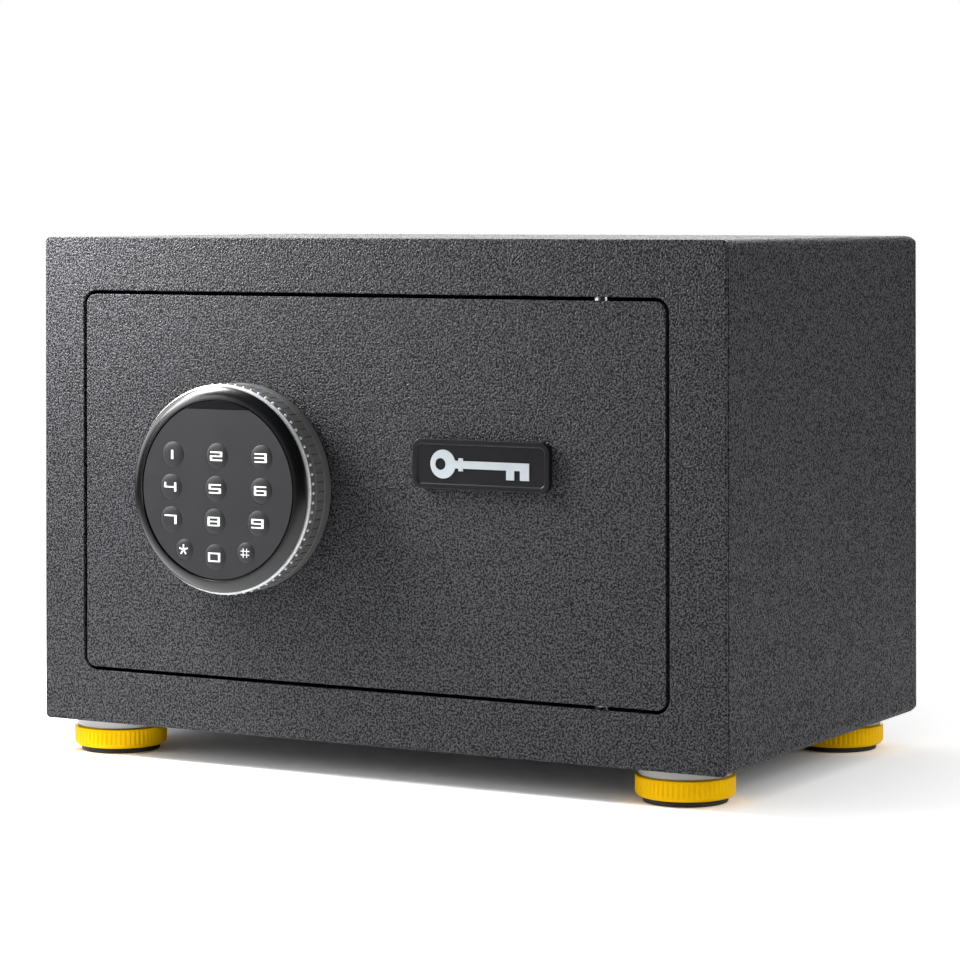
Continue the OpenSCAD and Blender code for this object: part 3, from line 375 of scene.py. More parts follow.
def onto_dial(piece):
    """Turns a piece drawn round Z so that it stands out from the door, round the lock axis."""
    return settle(piece, DIAL, (math.pi / 2, 0, 0))


def dress(piece, body, slot, material, *nodes):
    """Gives a finished piece its finish and its body, and hides the solids that it stands for."""
    piece.data.materials.clear()
    piece.data.materials.append(material)
    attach(piece, body)
    if nodes:
        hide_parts(*nodes)
    return piece


def peg_places():
    """Where the two pegs of the badge stand across the door."""
    return BADGE[0].x + PEG_INSET, BADGE[1].x - PEG_INSET


def middle_of(box):
    """The middle of a box, seen from above."""
    return Vector(((box[0].x + box[1].x) / 2, (box[0].y + box[1].y) / 2, 0))


def radius_of(box):
    return (box[1].x - box[0].x) / 2


def levels(box):
    """How far the back and the front of a box stand out from the front plate."""
    return FRONT_Y - box[1].y, FRONT_Y - box[0].y


def body_of(node):
    return frame["nodes"][node]["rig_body"]


def refine(node, slot, material, edge_mm, steps=2):
    """Stands a copy of a solid in its place, its triangles merged and its sharp edges rounded."""
    piece = copy_of(frame["nodes"][node], node + "_dressed")
    piece.parent = None
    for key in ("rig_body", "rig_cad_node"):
        del piece[key]
    edit(piece)
    bpy.ops.mesh.remove_doubles(threshold=2e-6)
    bpy.ops.mesh.dissolve_limited(angle_limit=math.radians(0.5))
    deselect()
    if edge_mm:
        round_edges(piece, edge_mm * MM, steps)
    else:
        smooth(piece)
    return dress(piece, body_of(node), slot, material, node)


# ---- Finishes ----

def feed(tree, socket, value):
    """Puts a value or another node's output into a socket."""
    if isinstance(value, bpy.types.NodeSocket):
        tree.links.new(value, socket)
    else:
        socket.default_value = value


def add(tree, kind, inputs=None, **settings):
    """Adds a node, with values or other nodes' outputs by socket, and with its settings."""
    made = tree.nodes.new("ShaderNode" + kind)
    for key, value in settings.items():
        setattr(made, key, value)
    for key, value in (inputs or {}).items():
        feed(tree, made.inputs[key], value)
    return made


def blank_tree(owner):
    """The shader nodes of a material or a world, emptied."""
    owner.use_nodes = True
    owner.node_tree.nodes.clear()
    return owner.node_tree


def finish(name, base, roughness, inputs=None):
    """A new material with one shader, as the material, its tree and its shader."""
    material = bpy.data.materials.new(name)
    tree = blank_tree(material)
    shader = add(tree, "BsdfPrincipled",
                 {"Base Color": (*base, 1), "Roughness": roughness, **(inputs or {})})
    add(tree, "OutputMaterial", {"Surface": shader.outputs["BSDF"]})
    return material, tree, shader


def object_point(tree):
    return add(tree, "TexCoord").outputs["Object"]


def noise(tree, grain, detail=2.0, roughness=0.5, distortion=0.0, vector=None):
    """Cloudy noise whose blobs are about grain metres across."""
    return add(tree, "TexNoise", {
        "Vector": vector or object_point(tree), "Scale": 1.0 / grain, "Detail": detail,
        "Roughness": roughness, "Distortion": distortion,
    }).outputs["Fac"]


def between(tree, value, low, high, to_low=0.0, to_high=1.0):
    """Stretches a value between two levels to another two."""
    return add(tree, "MapRange", {
        "Value": value, "From Min": low, "From Max": high, "To Min": to_low, "To Max": to_high,
    }).outputs["Result"]


def tint(tree, value, dark, light):
    """A colour that goes from dark to light as value goes from 0 to 1."""
    mix = add(tree, "Mix", data_type="RGBA")
    for socket, given in zip([s for s in mix.inputs if s.enabled], (value, (*dark, 1), (*light, 1))):
        feed(tree, socket, given)
    return next(s for s in mix.outputs if s.enabled)


def times(base, factor):
    """A darker or lighter colour."""
    return tuple(min(1.0, c * factor) for c in base)


def vary(tree, shader, value, dark, light, rough_dark, rough_light):
    """Takes a surface from one colour and roughness to another as value goes from 0 to 1."""
    feed(tree, shader.inputs["Base Color"], tint(tree, value, dark, light))
    feed(tree, shader.inputs["Roughness"], between(tree, value, 0.0, 1.0, rough_dark, rough_light))


def bump(tree, shader, height, depth, strength=1.0):
    """Raises a surface by depth metres where height is 1."""
    raised = add(tree, "Bump", {"Height": height, "Distance": depth, "Strength": strength})
    feed(tree, shader.inputs["Normal"], raised.outputs["Normal"])


# The levels of the coat's noise where its valleys end and its tops begin, which also sets where the painted
# shade in the valleys gives way to the coat's colour
RIDGE_LEVELS = (0.41, 0.61)


def textured_coat(name, peak, valley_shade, grain, depth, roughness):
    """Polyester powder baked over steel: short worm-like grains with satin tops and dull valleys, whose colour
    is darkened with the grains' height as painted shade in the valleys.
    """
    material, tree, shader = finish(name, peak, roughness, {"IOR": 1.5, "Specular IOR Level": 0.2})
    worms = noise(tree, grain, detail=0.0, distortion=0.5)
    ridges_and_shade = between(tree, worms, *RIDGE_LEVELS)
    # Painted shade: the colour falls from the coat colour on the grains' tops to the dark colour of the valleys
    # in their hollows, following the bump's height
    vary(tree, shader, ridges_and_shade, valley_shade, peak, roughness + 0.25, roughness)
    bump(tree, shader, worms, depth)
    return material


def moulded(name, base, roughness, grain_mm, depth_mm, spread, inputs=None):
    """Moulded plastic: a colour with a faint cloud that spreads it, and the fine texture of its mould."""
    material, tree, shader = finish(name, base, roughness, {"IOR": 1.5, **(inputs or {})})
    cloud = between(tree, noise(tree, 12 * MM, detail=3.0), 0.3, 0.7)
    vary(tree, shader, cloud, times(base, 1 - spread), times(base, 1 + spread),
         roughness * 0.93, roughness * 1.07)
    bump(tree, shader, noise(tree, grain_mm * MM), depth_mm * MM, 0.5)
    return material


def plated(name, base, roughness, streak=None, depth=0.0, metallic=1.0):
    """Plated or ground metal: a roughness that varies a little, and fine marks of the tool."""
    material, tree, shader = finish(name, base, roughness, {"Metallic": metallic})
    cloud = between(tree, noise(tree, 8 * MM, detail=4.0), 0.35, 0.65)
    vary(tree, shader, cloud, times(base, 0.9), base, roughness * 1.25, roughness * 0.85)
    if streak:
        point = add(tree, "Mapping", {"Vector": object_point(tree), "Scale": streak})
        bump(tree, shader, noise(tree, 0.3 * MM, vector=point.outputs["Vector"]), depth, 0.5)
    return material


def felt(base):
    """Needled felt: short matted fibres, dull, with a soft sheen at low angles."""
    material, tree, shader = finish("needled felt", base, 0.95,
                                    {"Sheen Weight": 0.35, "Sheen Roughness": 0.6})
    fibres = noise(tree, 0.8 * MM, detail=4.0, roughness=0.75, distortion=1.5)
    feed(tree, shader.inputs["Base Color"],
         tint(tree, between(tree, fibres, 0.3, 0.7), times(base, 0.55), times(base, 1.5)))
    bump(tree, shader, fibres, 0.35 * MM, 0.9)
    return material


MADE = {}


def plastics(c):
    """What moulded() makes in the scene's colours, by name."""
    dull = {"Specular IOR Level": 0.3}
    return {
        # ABS with a fine mould texture; satin, so the grooves read as soft dark lines
        "ring": ("textured black ABS", c.ring, 0.46, 0.35, 0.02, 0.06),
        # Polished ABS: a soft gloss that shows the lamps as broad streaks
        "bezel": ("polished black ABS", c.bezel, 0.22, 6, 0.004, 0.03, {"Specular IOR Level": 0.45}),
        # Soft-touch keypad moulding: dull, a little lighter than the bezel
        "keypad": ("soft-touch keypad", c.keypad, 0.5, 0.25, 0.012, 0.05, dull),
        "window": ("smoked window", linear("#0E0E10"), 0.22, 5, 0.003, 0.03, dull),
        "badge": ("satin black ABS badge", c.badge, 0.34, 0.3, 0.01, 0.05, dull),
        # Pad-printed ink: thin, opaque and dull
        "white_print": ("white printed ink", c.white_print, 0.55, 0.2, 0.004, 0.02),
        "silver_print": ("silver painted relief", c.silver_print, 0.38, 0.25, 0.01, 0.04, {"Metallic": 0.25}),
        # Semi-gloss polypropylene, coloured through
        "collar": ("yellow polypropylene", c.collar, 0.36, 0.5, 0.012, 0.04,
                   {"Subsurface Weight": 0.04, "Subsurface Radius": (0.002, 0.001, 0.0004),
                    "Specular IOR Level": 0.05}),
        "disc": ("white polypropylene", c.disc, 0.42, 0.5, 0.01, 0.02),
        "pad": ("black rubber", c.pad, 0.62, 0.4, 0.03, 0.12),
        "inner_plastic": ("textured black plastic", linear("#26262A"), 0.5, 0.5, 0.03, 0.05),
        "red": ("red plastic", c.red, 0.3, 0.5, 0.006, 0.04),
        "board": ("green board lacquer", c.board, 0.32, 1.5, 0.01, 0.25),
        "lead": ("black cable sheath", linear("#17171A"), 0.55, 0.5, 0.01, 0.08),
        "cell": ("shrink-wrapped cell", linear("#3B3D44"), 0.28, 1.2, 0.01, 0.06,
                 {"Coat Weight": 0.4, "Coat Roughness": 0.12}),
    }


def finishes(s, c):
    """Every finish by name, made once."""
    if MADE:
        return MADE
    MADE.update({
        "outer_coat": textured_coat("textured charcoal powder coat", c.coat_peak, c.coat_valley_shade,
                                    s.grain, s.grain_depth, 0.4),
        # The inner coat's darker colour in the valleys is painted shade between its grains too
        "inner_coat": textured_coat("fine black powder coat", c.inner_coat, linear("#161618"),
                                    0.7 * MM, 0.07 * MM, 0.5),
        **{name: moulded(*given) for name, given in plastics(c).items()},
        # Electroplated zinc: bluish grey with a spangle and the marks of rolling
        "zinc": plated("zinc-plated steel", c.zinc, 0.36, (1, 1, 0.08), 0.02 * MM),
        # Ground steel: bright, with fine marks round the bar
        "steel": plated("ground steel", c.steel, 0.22, (9, 1, 1), 0.008 * MM),
        "chrome": plated("bright chrome plate", c.chrome, 0.25, metallic=0.25),
        "brass": plated("turned brass", c.brass, 0.25, (1, 6, 1), 0.01 * MM),
        "felt": felt(c.felt),
    })
    return MADE


class SafeStep:
    """One step of the build, made from the scene's sizes and finishes."""

    bl_options = {"REGISTER", "UNDO"}

    def execute(self, context):
        sizes = context.scene.safe_sizes
        self.make(sizes, finishes(sizes, context.scene.safe_colours))
        return {"FINISHED"}


class SAFE_OT_case(SafeStep, Operator):
    """Model the front plate, the wrapped sheet and the rear panel of the case"""

    bl_idname = "safe.case"
    bl_label = "Case"

    def make(self, s, f):
        low, high = FRONT
        plate = slab("front_plate", low, high, s.front_radius)
        gap = s.door_gap
        carve(plate, slab("opening", (DOOR[0].x - gap, low.y - gap, DOOR[0].z - gap),
                          (DOOR[1].x + gap, high.y + gap, DOOR[1].z + gap), s.opening_radius))
        round_edges(plate, s.plate_edge)
        dress(plate, "case", "steel_paint", f["outer_coat"], "front_frame")

        low, high = WRAP
        t = s.sheet
        low = low + Vector((0, s.seam, 0))
        wrap = slab("case_sheet", low, high, s.case_radius)
        inside = slab("inside", (low.x + t, low.y - t, low.z + t), (high.x - t, high.y + t, high.z - t),
                      s.case_radius - t)
        holes = []
        for mount in frame["record"]["mounts"]:
            if mount["name"] == "floor_anchor_holes":
                x, y, z = mount["pos_m"]
                half = mount["dims"]["spacing_x_mm"] * MM / 2
                holes += [rod("hole", (side * half, y, z - t), (side * half, y, z + 2 * t),
                              mount["dims"]["hole_r_mm"] * MM) for side in (-1, 1)]
        for corner in CORNERS:
            x, y, _ = middle_of(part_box("foot_pad_" + corner))
            holes.append(rod("hole", (x, y, low.z - t), (x, y, low.z + 2 * t), STUD_HOLE_R))
        carve(wrap, inside, *holes)
        round_edges(wrap, s.seam_edge, 2)
        dress(wrap, "case", "steel_paint", f["outer_coat"], "case_wrap")
        refine("rear_panel", "steel_paint", f["outer_coat"], 0.3)


class SAFE_OT_case_fittings(SafeStep, Operator):
    """Dress the hinge brackets, the bolt keeper, the mat and the nuts inside the case"""

    bl_idname = "safe.case_fittings"
    bl_label = "Case fittings"

    def make(self, s, f):
        for node, edge in (("hinge_brackets", 0.3), ("bolt_keeper", 0.3), ("foot_nuts", 0.35)):
            refine(node, "zinc_steel", f["zinc"], edge)
        refine("floor_mat", "felt", f["felt"], 0.6, 3)


class SAFE_OT_door(SafeStep, Operator):
    """Model the door plate and its hinge"""

    bl_idname = "safe.door"
    bl_label = "Door"

    def make(self, s, f):
        low, high = DOOR
        plate = slab("door_panel", low, high, s.door_radius)
        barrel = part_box("emergency_lock_barrel")
        lock = (barrel[0] + barrel[1]) / 2

        def through(x, z, radius, sides):
            return rod("hole", (x, low.y - 1 * MM, z), (x, high.y + 1 * MM, z), radius, sides)

        holes = [through(DIAL.x, DIAL.z, SPINDLE_HOLE_R, 64), through(lock.x, lock.z, LOCK_HOLE_R, 64)]
        carve(plate, *holes, *[through(x, lock.z, PEG_HOLE_R, 32) for x in peg_places()])
        round_edges(plate, s.plate_edge)
        dress(plate, "door", "steel_paint", f["outer_coat"], "door_plate")
        refine("hinge_blocks", "zinc_steel", f["zinc"], 0.4)
        refine("hinge_pins", "bright_steel", f["steel"], 0.4)


class SAFE_OT_door_inside(SafeStep, Operator):
    """Dress the inner cover of the door, the lock work and the plunger's spring"""

    bl_idname = "safe.door_inside"
    bl_label = "Inside of the door"

    def make(self, s, f):
        refine("door_cover", "cover_paint", f["inner_coat"], 0.5, 3)
        refine("cover_screws", "bright_steel", f["steel"], 0.2)
        for node in ("lock_chassis", "stem_bridge"):
            refine(node, "zinc_steel", f["zinc"], 0.3)
        refine("battery_box", "inner_plastic", f["inner_plastic"], 0.3)
        refine("locking_bolts", "bright_steel", f["steel"], 0.0)
        for node in ("bolt_carriage", "crank_disc"):
            refine(node, "zinc_steel", f["zinc"], 0.3)
        refine("battery_lid", "inner_plastic", f["inner_plastic"], 0.4, 3)
        refine("reset_button", "red_plastic", f["red"], 0.4, 3)
        keep_solids = {
            "keypad_stem": "steel", "ring_spindle": "steel", "solenoid": "zinc", "solenoid_plunger": "steel",
            "keypad_board": "board", "control_board": "board", "battery_cells": "cell",
            "keypad_lead": "lead", "battery_lead": "red", "emergency_lock_cam": "zinc",
        }
        for node, key in keep_solids.items():
            materials = frame["nodes"][node].data.materials
            materials.clear()
            materials.append(f[key])

        # The spring lies between the solenoid, which stands still, and the plunger that it rides on; it gets a
        # mesh of its own
        spring = refine("plunger_spring", "bright_steel", f["steel"], 0.0)
        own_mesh(spring)


# ---- Lock ring and keypad ----

def key_place(key, s):
    """Where a key stands from the lock axis, and the radius of its cap."""
    low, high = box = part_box("key_" + key)
    return (low.x + high.x) / 2 - DIAL.x, (low.z + high.z) / 2 - DIAL.z, radius_of(box) - s.key_lip


# The trim's rounding, and how far the beads lie outside the ring's lip and below its top
TRIM_EDGE = 0.9 * MM
BEAD_OUT = 0.2 * MM
BEAD_DOWN = 1.5 * MM


class SAFE_OT_lock_ring(SafeStep, Operator):
    """Model the turning ring with its grip grooves, the bright trim and its beads"""

    bl_idname = "safe.lock_ring"
    bl_label = "Lock ring"

    def make(self, s, f):
        outer, (foot, top) = radius_of(RING), levels(RING)
        trim_r, (_, trim_top) = radius_of(TRIM), levels(TRIM)
        inner = outer - s.ring_wall
        grip, lip = outer - s.ring_step, outer - 2 * s.ring_step
        band_top, rim = foot + s.ring_band, top - s.ring_lip
        web0, web1, bore = foot + RING_WEB_LOW, foot + RING_WEB_HIGH, RING_BORE_R
        edge = 0.5 * MM
        ring = turned("lock_ring", s.groove_count * 8, [
            (bore, web0), (inner - 0.2 * MM, web0), (inner, web0 - 0.2 * MM), (inner, foot),
            (outer - edge, foot), *arc((outer - edge, foot + edge), edge, -60, 0, 3),
            (outer, band_top - 0.3 * MM), (outer - 0.05 * MM, band_top - 0.1 * MM),
            (grip, band_top), (grip, band_top + edge / 2), (grip, rim - edge / 2),
            (lip, rim), (lip, rim + 0.1 * MM), (lip, top),
            (inner, top), (inner, web1), (bore, web1), (bore, web0)])
        step = math.tau / s.groove_count
        low, high = band_top + 0.2 * MM, rim - 0.2 * MM

        def in_groove(middle, normal):
            angle = math.atan2(middle.y, middle.x) % step
            reach = math.hypot(middle.x, middle.y)
            return low < middle.z < high and reach > grip * 0.99 and angle < step / 8

        mark(ring, "FACE", in_groove)
        bpy.ops.mesh.extrude_region_move(TRANSFORM_OT_translate={"value": (0, 0, 0)})
        grow((grip - s.groove_depth) / grip)
        deselect()
        smooth(ring, 30)
        dress(onto_dial(ring), "lock_ring", "ring_plastic", f["ring"], "turn_ring")

        edge = TRIM_EDGE
        trim = turned("bright_trim", 256, [
            (inner, top), (inner, trim_top - 0.1 * MM), (inner + 0.1 * MM, trim_top),
            *arc((trim_r - edge, trim_top - edge), edge, 90, 0, 8), (trim_r, top), (inner, top)])
        dress(onto_dial(trim), "lock_ring", "chrome_trim", f["chrome"], "trim_ring")

        bpy.ops.mesh.primitive_uv_sphere_add(
            segments=14, ring_count=8, radius=s.bead, location=(lip + BEAD_OUT, 0, top - BEAD_DOWN))
        beads = settle(name_it("rim_beads"))
        edit(beads)
        bpy.ops.mesh.spin(steps=s.groove_count, dupli=True, angle=math.tau, center=(0, 0, 0), axis=UP)
        weld()
        dress(onto_dial(smooth(beads, 180)), "lock_ring", "chrome_trim", f["chrome"])


class SAFE_OT_keypad(SafeStep, Operator):
    """Model the polished bezel, the keypad plate and its dark window"""

    bl_idname = "safe.keypad"
    bl_label = "Keypad"

    def make(self, s, f):
        outer, (floor, top) = radius_of(HOUSING), levels(HOUSING)
        plate_r, (plate_low, plate_top) = radius_of(PLATE), levels(PLATE)
        seat, ledge = plate_r + s.seat_gap, plate_r - 1.2 * MM
        body_r, shoulder = seat + s.housing_wall, top - s.bezel_rise
        bore, inside = STEM_HOLE_R, floor + HOUSING_FLOOR
        edge = 0.25 * MM
        reach, rise = outer - seat, s.bezel_rise - s.bezel_edge
        bend = (reach ** 2 + rise ** 2) / (2 * rise)
        bezel = turned("bezel", 192, [
            (bore, floor), (body_r, floor), (body_r, shoulder), (outer - edge, shoulder),
            (outer, shoulder + edge), (outer, shoulder + s.bezel_edge - 0.1 * MM),
            *arc((seat, top - bend), bend, 90 - math.degrees(math.asin(reach / bend)), 89, 18),
            (seat + 0.12 * MM, top - 0.04 * MM), (seat, top - 0.2 * MM), (seat, plate_low),
            (ledge, plate_low), (ledge, inside), (bore, inside), (bore, floor)])
        dress(onto_dial(bezel), "door", "gloss_black", f["bezel"], "keypad_housing")

        face = rod("keypad_face", (0, 0, plate_low), (0, 0, plate_top), plate_r, 192)
        glass = copy_of(face, "dark_window")
        split = WINDOW[0].z - DIAL.z
        past, under, over = plate_r + MM, plate_low - MM, plate_top + MM
        above = block("above", (-past, split - 0.1 * MM, under), (past, past, over))
        below = block("below", (-past, -past, under), (past, split, over))
        holes = [rod("hole", (x, z, under), (x, z, over), r + 0.05 * MM, 56)
                 for x, z, r in (key_place(key, s) for key in KEYS)]
        carve(face, above, *holes)
        round_edges(face, 0.15 * MM, 2, 50)
        dress(onto_dial(face), "door", "keypad_black", f["keypad"], "keypad_plate")
        carve(glass, below)
        settle(glass, (0, 0, -0.15 * MM))
        onto_dial(round_edges(glass, 0.1 * MM, 2, 50))
        dress(glass, "door", "lens_black", f["window"], "indicator_window")


# Characters in a grid of strokes and spaces, row by row from the top, and how wide their strokes are as
# parts of their width and height
CHARACTERS = {
    "1": "1 1 1 1 1", "2": "111 001 111 100 111", "3": "111 001 111 001 111",
    "4": "101 101 111 001 001", "5": "111 100 111 001 111", "6": "111 100 111 101 111",
    "7": "111 001 001 001 001", "8": "111 101 111 101 111", "9": "111 101 111 001 111",
    "0": "111 101 101 101 111", "hash": "01010 11111 01010 11111 01010",
}
UPRIGHT = 0.17
BAR = 0.155


def grid_lines(count, span, first):
    """Where the lines of a character's grid lie: stroke, space, stroke and so on."""
    strokes = (count + 1) // 2
    space = (1 - strokes * first) / (strokes - 1) if strokes > 1 else 0
    lines = [0.0]
    for i in range(count):
        lines.append(lines[-1] + (first if i % 2 == 0 else space))
    return [(x / lines[-1] - 0.5) * span for x in lines]


def character(name, width, height):
    """A flat character, middle at the origin, drawn in X and Y."""
    rows = CHARACTERS[name].split()
    columns = len(rows[0])
    if name == "hash":
        width *= 0.7
        xs = [(i - 2.5) / 5 * width + (0.0, 0.12, -0.12, 0.12, -0.12, 0.0)[i] * width * 0.5 for i in range(6)]
        ys = [-(y / width) * height for y in xs]
    else:
        xs = grid_lines(columns, width if columns > 1 else width * UPRIGHT, UPRIGHT)
        ys = [-y for y in grid_lines(5, height, BAR)]
    bpy.ops.mesh.primitive_grid_add(x_subdivisions=columns, y_subdivisions=5, size=2)
    piece = settle(name_it("character_" + name))
    for point in piece.data.vertices:
        column = round((point.co.x + 1) / 2 * columns)
        row = round((1 - point.co.y) / 2 * 5)
        point.co = (xs[column], ys[row], 0)

    def empty(middle, normal):
        column = sum(x < middle.x for x in xs) - 1
        row = sum(y > middle.y for y in ys) - 1
        return rows[row][column] == "0"

    mark(piece, "FACE", empty)
    if "0" in CHARACTERS[name]:
        bpy.ops.mesh.delete(type="FACE")
    deselect()
    return piece


def star(arm):
    """A flat star of five bars, middle at the origin."""
    half = arm * 0.14
    inner = half / math.sin(math.radians(36))
    bpy.ops.mesh.primitive_circle_add(vertices=15, radius=arm, fill_type="NGON")
    piece = settle(name_it("character_star"))
    points = sorted(piece.data.vertices, key=lambda v: math.atan2(v.co.y, v.co.x) % math.tau)
    for i, point in enumerate(points):
        way = math.radians(90 + 72 * (i // 3))
        along, side = Vector((math.cos(way), math.sin(way), 0)), Vector((-math.sin(way), math.cos(way), 0))
        if i % 3 == 0:
            turn = way - math.radians(36)
            point.co = (inner * math.cos(turn), inner * math.sin(turn), 0)
        else:
            point.co = along * arm + side * (half if i % 3 == 2 else -half)
    return piece


def thicken(piece, depth, corner):
    """Gives a flat character its depth, rounds its corners and cuts it fine enough to follow a dome."""
    modify(piece, "SOLIDIFY", thickness=depth, offset=0)
    if corner:
        edit(piece)
        bpy.ops.mesh.dissolve_limited(angle_limit=math.radians(5))
        mark(piece, "EDGE", lambda middle, way: abs(way.z) > 0.9)
        bpy.ops.mesh.bevel(offset=corner, segments=4, affect="EDGES", clamp_overlap=True)
    edit(piece)
    bpy.ops.mesh.quads_convert_to_tris()
    bpy.ops.mesh.subdivide(number_cuts=3)
    deselect()
    return piece


# How deep the rim of a key's dome lies, and where the dome's rings lie as parts of its radius
KEY_SINK = 0.08 * MM
DOME_PARTS = (1.0, 0.985, 0.95, 0.9, 0.82, 0.7, 0.55, 0.35, 0.15)


class SAFE_OT_keys(SafeStep, Operator):
    """Model the twelve domed keys and the characters printed on them"""

    bl_idname = "safe.keys"
    bl_label = "Keys"

    def make(self, s, f):
        plate_low, plate_top = levels(PLATE)
        for key in KEYS:
            x, z, r = key_place(key, s)

            def crown(reach):
                """Height of the key's face at a distance from its middle: nearly flat, then falling."""
                rim = plate_top - KEY_SINK
                return rim + (s.key_dome + KEY_SINK) * (1 - min(1.0, reach / r) ** 4)

            dome = turned("key_" + key + "_cap", 56, [
                (r, plate_low - KEY_FLANGE), *((r * part, crown(r * part)) for part in DOME_PARTS),
                (0, crown(0))])
            onto_dial(settle(dome, (x, z, 0)))
            body = body_of("key_" + key)
            dress(dome, body, "keypad_black", f["keypad"], "key_" + key)

            sign = star(s.star_reach) if key == "star" else character(key, s.glyph_width, s.glyph_height)
            sign = thicken(sign, s.glyph_depth, s.glyph_corner if key.isdigit() else 0.0)
            for point in sign.data.vertices:
                level = crown(math.hypot(point.co.x, point.co.y))
                point.co.z = level + (s.glyph_lift if point.co.z > 0 else -s.glyph_depth)
            settle(sign, (x, z, 0))
            dress(onto_dial(smooth(sign, 50)), body, "keypad_black", f["white_print"])


class SAFE_OT_badge(SafeStep, Operator):
    """Model the badge with its raised rim, a plain key sign, and dress the lock behind it"""

    bl_idname = "safe.badge"
    bl_label = "Badge and emergency lock"

    def make(self, s, f):
        low, high = BADGE
        back = FRONT_Y - 0.1 * MM
        plate = slab("badge_shell", low, (high.x, back, high.z), 4 * MM, 10)
        mark(plate, "FACE", lambda middle, normal: normal.y < -0.9)
        bpy.ops.mesh.inset(thickness=s.badge_rim, depth=0)
        bpy.ops.mesh.inset(thickness=0.12 * MM, depth=0)
        bpy.ops.transform.translate(value=(0, s.badge_drop, 0))
        deselect()
        carve(plate, slab("hollow", low + Vector((BADGE_WALL, BADGE_FACE, BADGE_WALL)),
                          (high.x - BADGE_WALL, back + MM, high.z - BADGE_WALL), 2.6 * MM, 6))
        middle = Vector(((low.x + high.x) / 2, low.y, (low.z + high.z) / 2))
        round_edges(plate, 0.28 * MM, 3)
        start, end = low.y + 1.2 * MM, FRONT_Y + 3.5 * MM
        pegs = [smooth(rod("peg", (x, start, middle.z), (x, end, middle.z), PEG_R, 24)) for x in peg_places()]
        dress(join("badge_shell", plate, *pegs), "badge", "badge_black", f["badge"], "badge_cover")

        # A key sign in raised silver, set out in millimetres from the badge's middle
        field = low.y + s.badge_drop
        face, root = field - 0.35 * MM, field + 0.1 * MM

        def bar(name, x0, x1, z0, z1):
            return block(name, (middle.x + x0 * MM, face, middle.z + z0 * MM),
                         (middle.x + x1 * MM, root, middle.z + z1 * MM))

        def disc(name, x, radius, front, back):
            x = middle.x + x * MM
            return rod(name, (x, front, middle.z), (x, back, middle.z), radius * MM)

        bow = disc("key_sign", -16.5, 5.6, face, root)
        bars = [bar("shank", -12.4, 21.5, -1.5, 1.5), bar("collar", -9.6, -7.6, -2.5, 2.5),
                bar("ward", 11.5, 15.0, -5.2, -1.2), bar("ward", 17.5, 21.5, -5.2, -1.2)]
        for extra in bars:
            modify(bow, "BOOLEAN", object=extra, operation="UNION", solver="EXACT")
            bpy.data.objects.remove(extra)
        carve(bow, disc("eye", -17.6, 2.3, face - MM, field + MM))
        round_edges(bow, 0.12 * MM, 2)
        dress(bow, "badge", "badge_black", f["silver_print"])

        refine("emergency_lock_barrel", "chrome_trim", f["chrome"], 0.15)
        refine("emergency_lock_plug", "brass", f["brass"], 0.1)


class SAFE_OT_feet(SafeStep, Operator):
    """Model one levelling foot and copy it to the four corners"""

    bl_idname = "safe.feet"
    bl_label = "Feet"

    def make(self, s, f):
        low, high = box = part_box("foot_collar_front_left")
        under, over = (point.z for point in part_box("foot_discs"))
        r = radius_of(box)
        top, bottom = under - 0.3 * MM, low.z
        heel, edge = 1.9 * MM, 0.4 * MM
        flute_r = r - 0.12 * MM
        collar = turned("collar", s.flute_count * 4, [
            (COLLAR_BORE_R, bottom + COLLAR_BORE_DEPTH), (COLLAR_BORE_R, bottom), (r - 2.1 * MM, bottom),
            *arc((r - 2.1 * MM, bottom + heel), heel, -80, -12, 5),
            (flute_r, bottom + heel), (flute_r, top - 0.6 * MM),
            *arc((r - 0.5 * MM, top - edge), edge, 0, 90, 4),
            (STUD_R, top), (STUD_R, high.z - edge), (STUD_R - edge, high.z), (0, high.z)])
        step = math.tau / s.flute_count

        def in_flute(place, normal):
            turn = math.atan2(place.y, place.x) / step
            return (bottom + 1.8 * MM < place.z < top - 0.5 * MM and abs(turn - round(turn)) < 0.1
                    and math.hypot(place.x, place.y) > flute_r * 0.99)

        mark(collar, "VERT", in_flute)
        grow((flute_r - s.flute_depth) / flute_r)
        deselect()
        smooth(collar, 50)

        low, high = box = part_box("foot_pad_front_left")
        pad_r, sole, brim, boss = radius_of(box), low.z, low.z + 1.9 * MM, high.z
        edge = 0.6 * MM
        pad = turned("pad", 96, [
            (0.05 * MM, sole), (pad_r - 0.9 * MM, sole), *arc((pad_r - edge, sole + edge), edge, -60, 0, 4),
            (pad_r, sole + 1.2 * MM), (pad_r - 0.2 * MM, brim),
            (FOOT_BOSS_R, brim), (FOOT_BOSS_R, boss), (0, boss)])

        def round_axis(middle, way):
            return math.hypot(middle.x, middle.y) < 0.1 * MM and middle.z < boss - MM

        mark(pad, "EDGE", round_axis)
        bpy.ops.mesh.edge_face_add()
        deselect()

        disc_r, hole_r = FOOT_DISC_R, STUD_HOLE_R
        edge = 0.4 * MM
        disc = turned("disc", 96, [
            (hole_r, under), (disc_r - edge, under), *arc((disc_r - edge, under + edge), edge, -60, 0, 4),
            (disc_r, over - edge / 2), (disc_r - edge / 2, over), (hole_r, over), (hole_r, under)])
        discs = []
        for corner in CORNERS:
            place = middle_of(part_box("foot_collar_" + corner))
            for pattern, part, slot in ((collar, "collar", "foot_yellow"), (pad, "pad", "foot_rubber")):
                name = part + "_" + corner
                dress(settle(copy_of(pattern, name), place), name, slot, f[part], "foot_" + name)
            discs.append(settle(copy_of(disc, "disc_" + corner), place))
        for pattern in (collar, pad, disc):
            bpy.data.objects.remove(pattern)
        dress(join("white_discs", *discs), "case", "foot_white", f["disc"], "foot_discs")


# ---- Stage ----

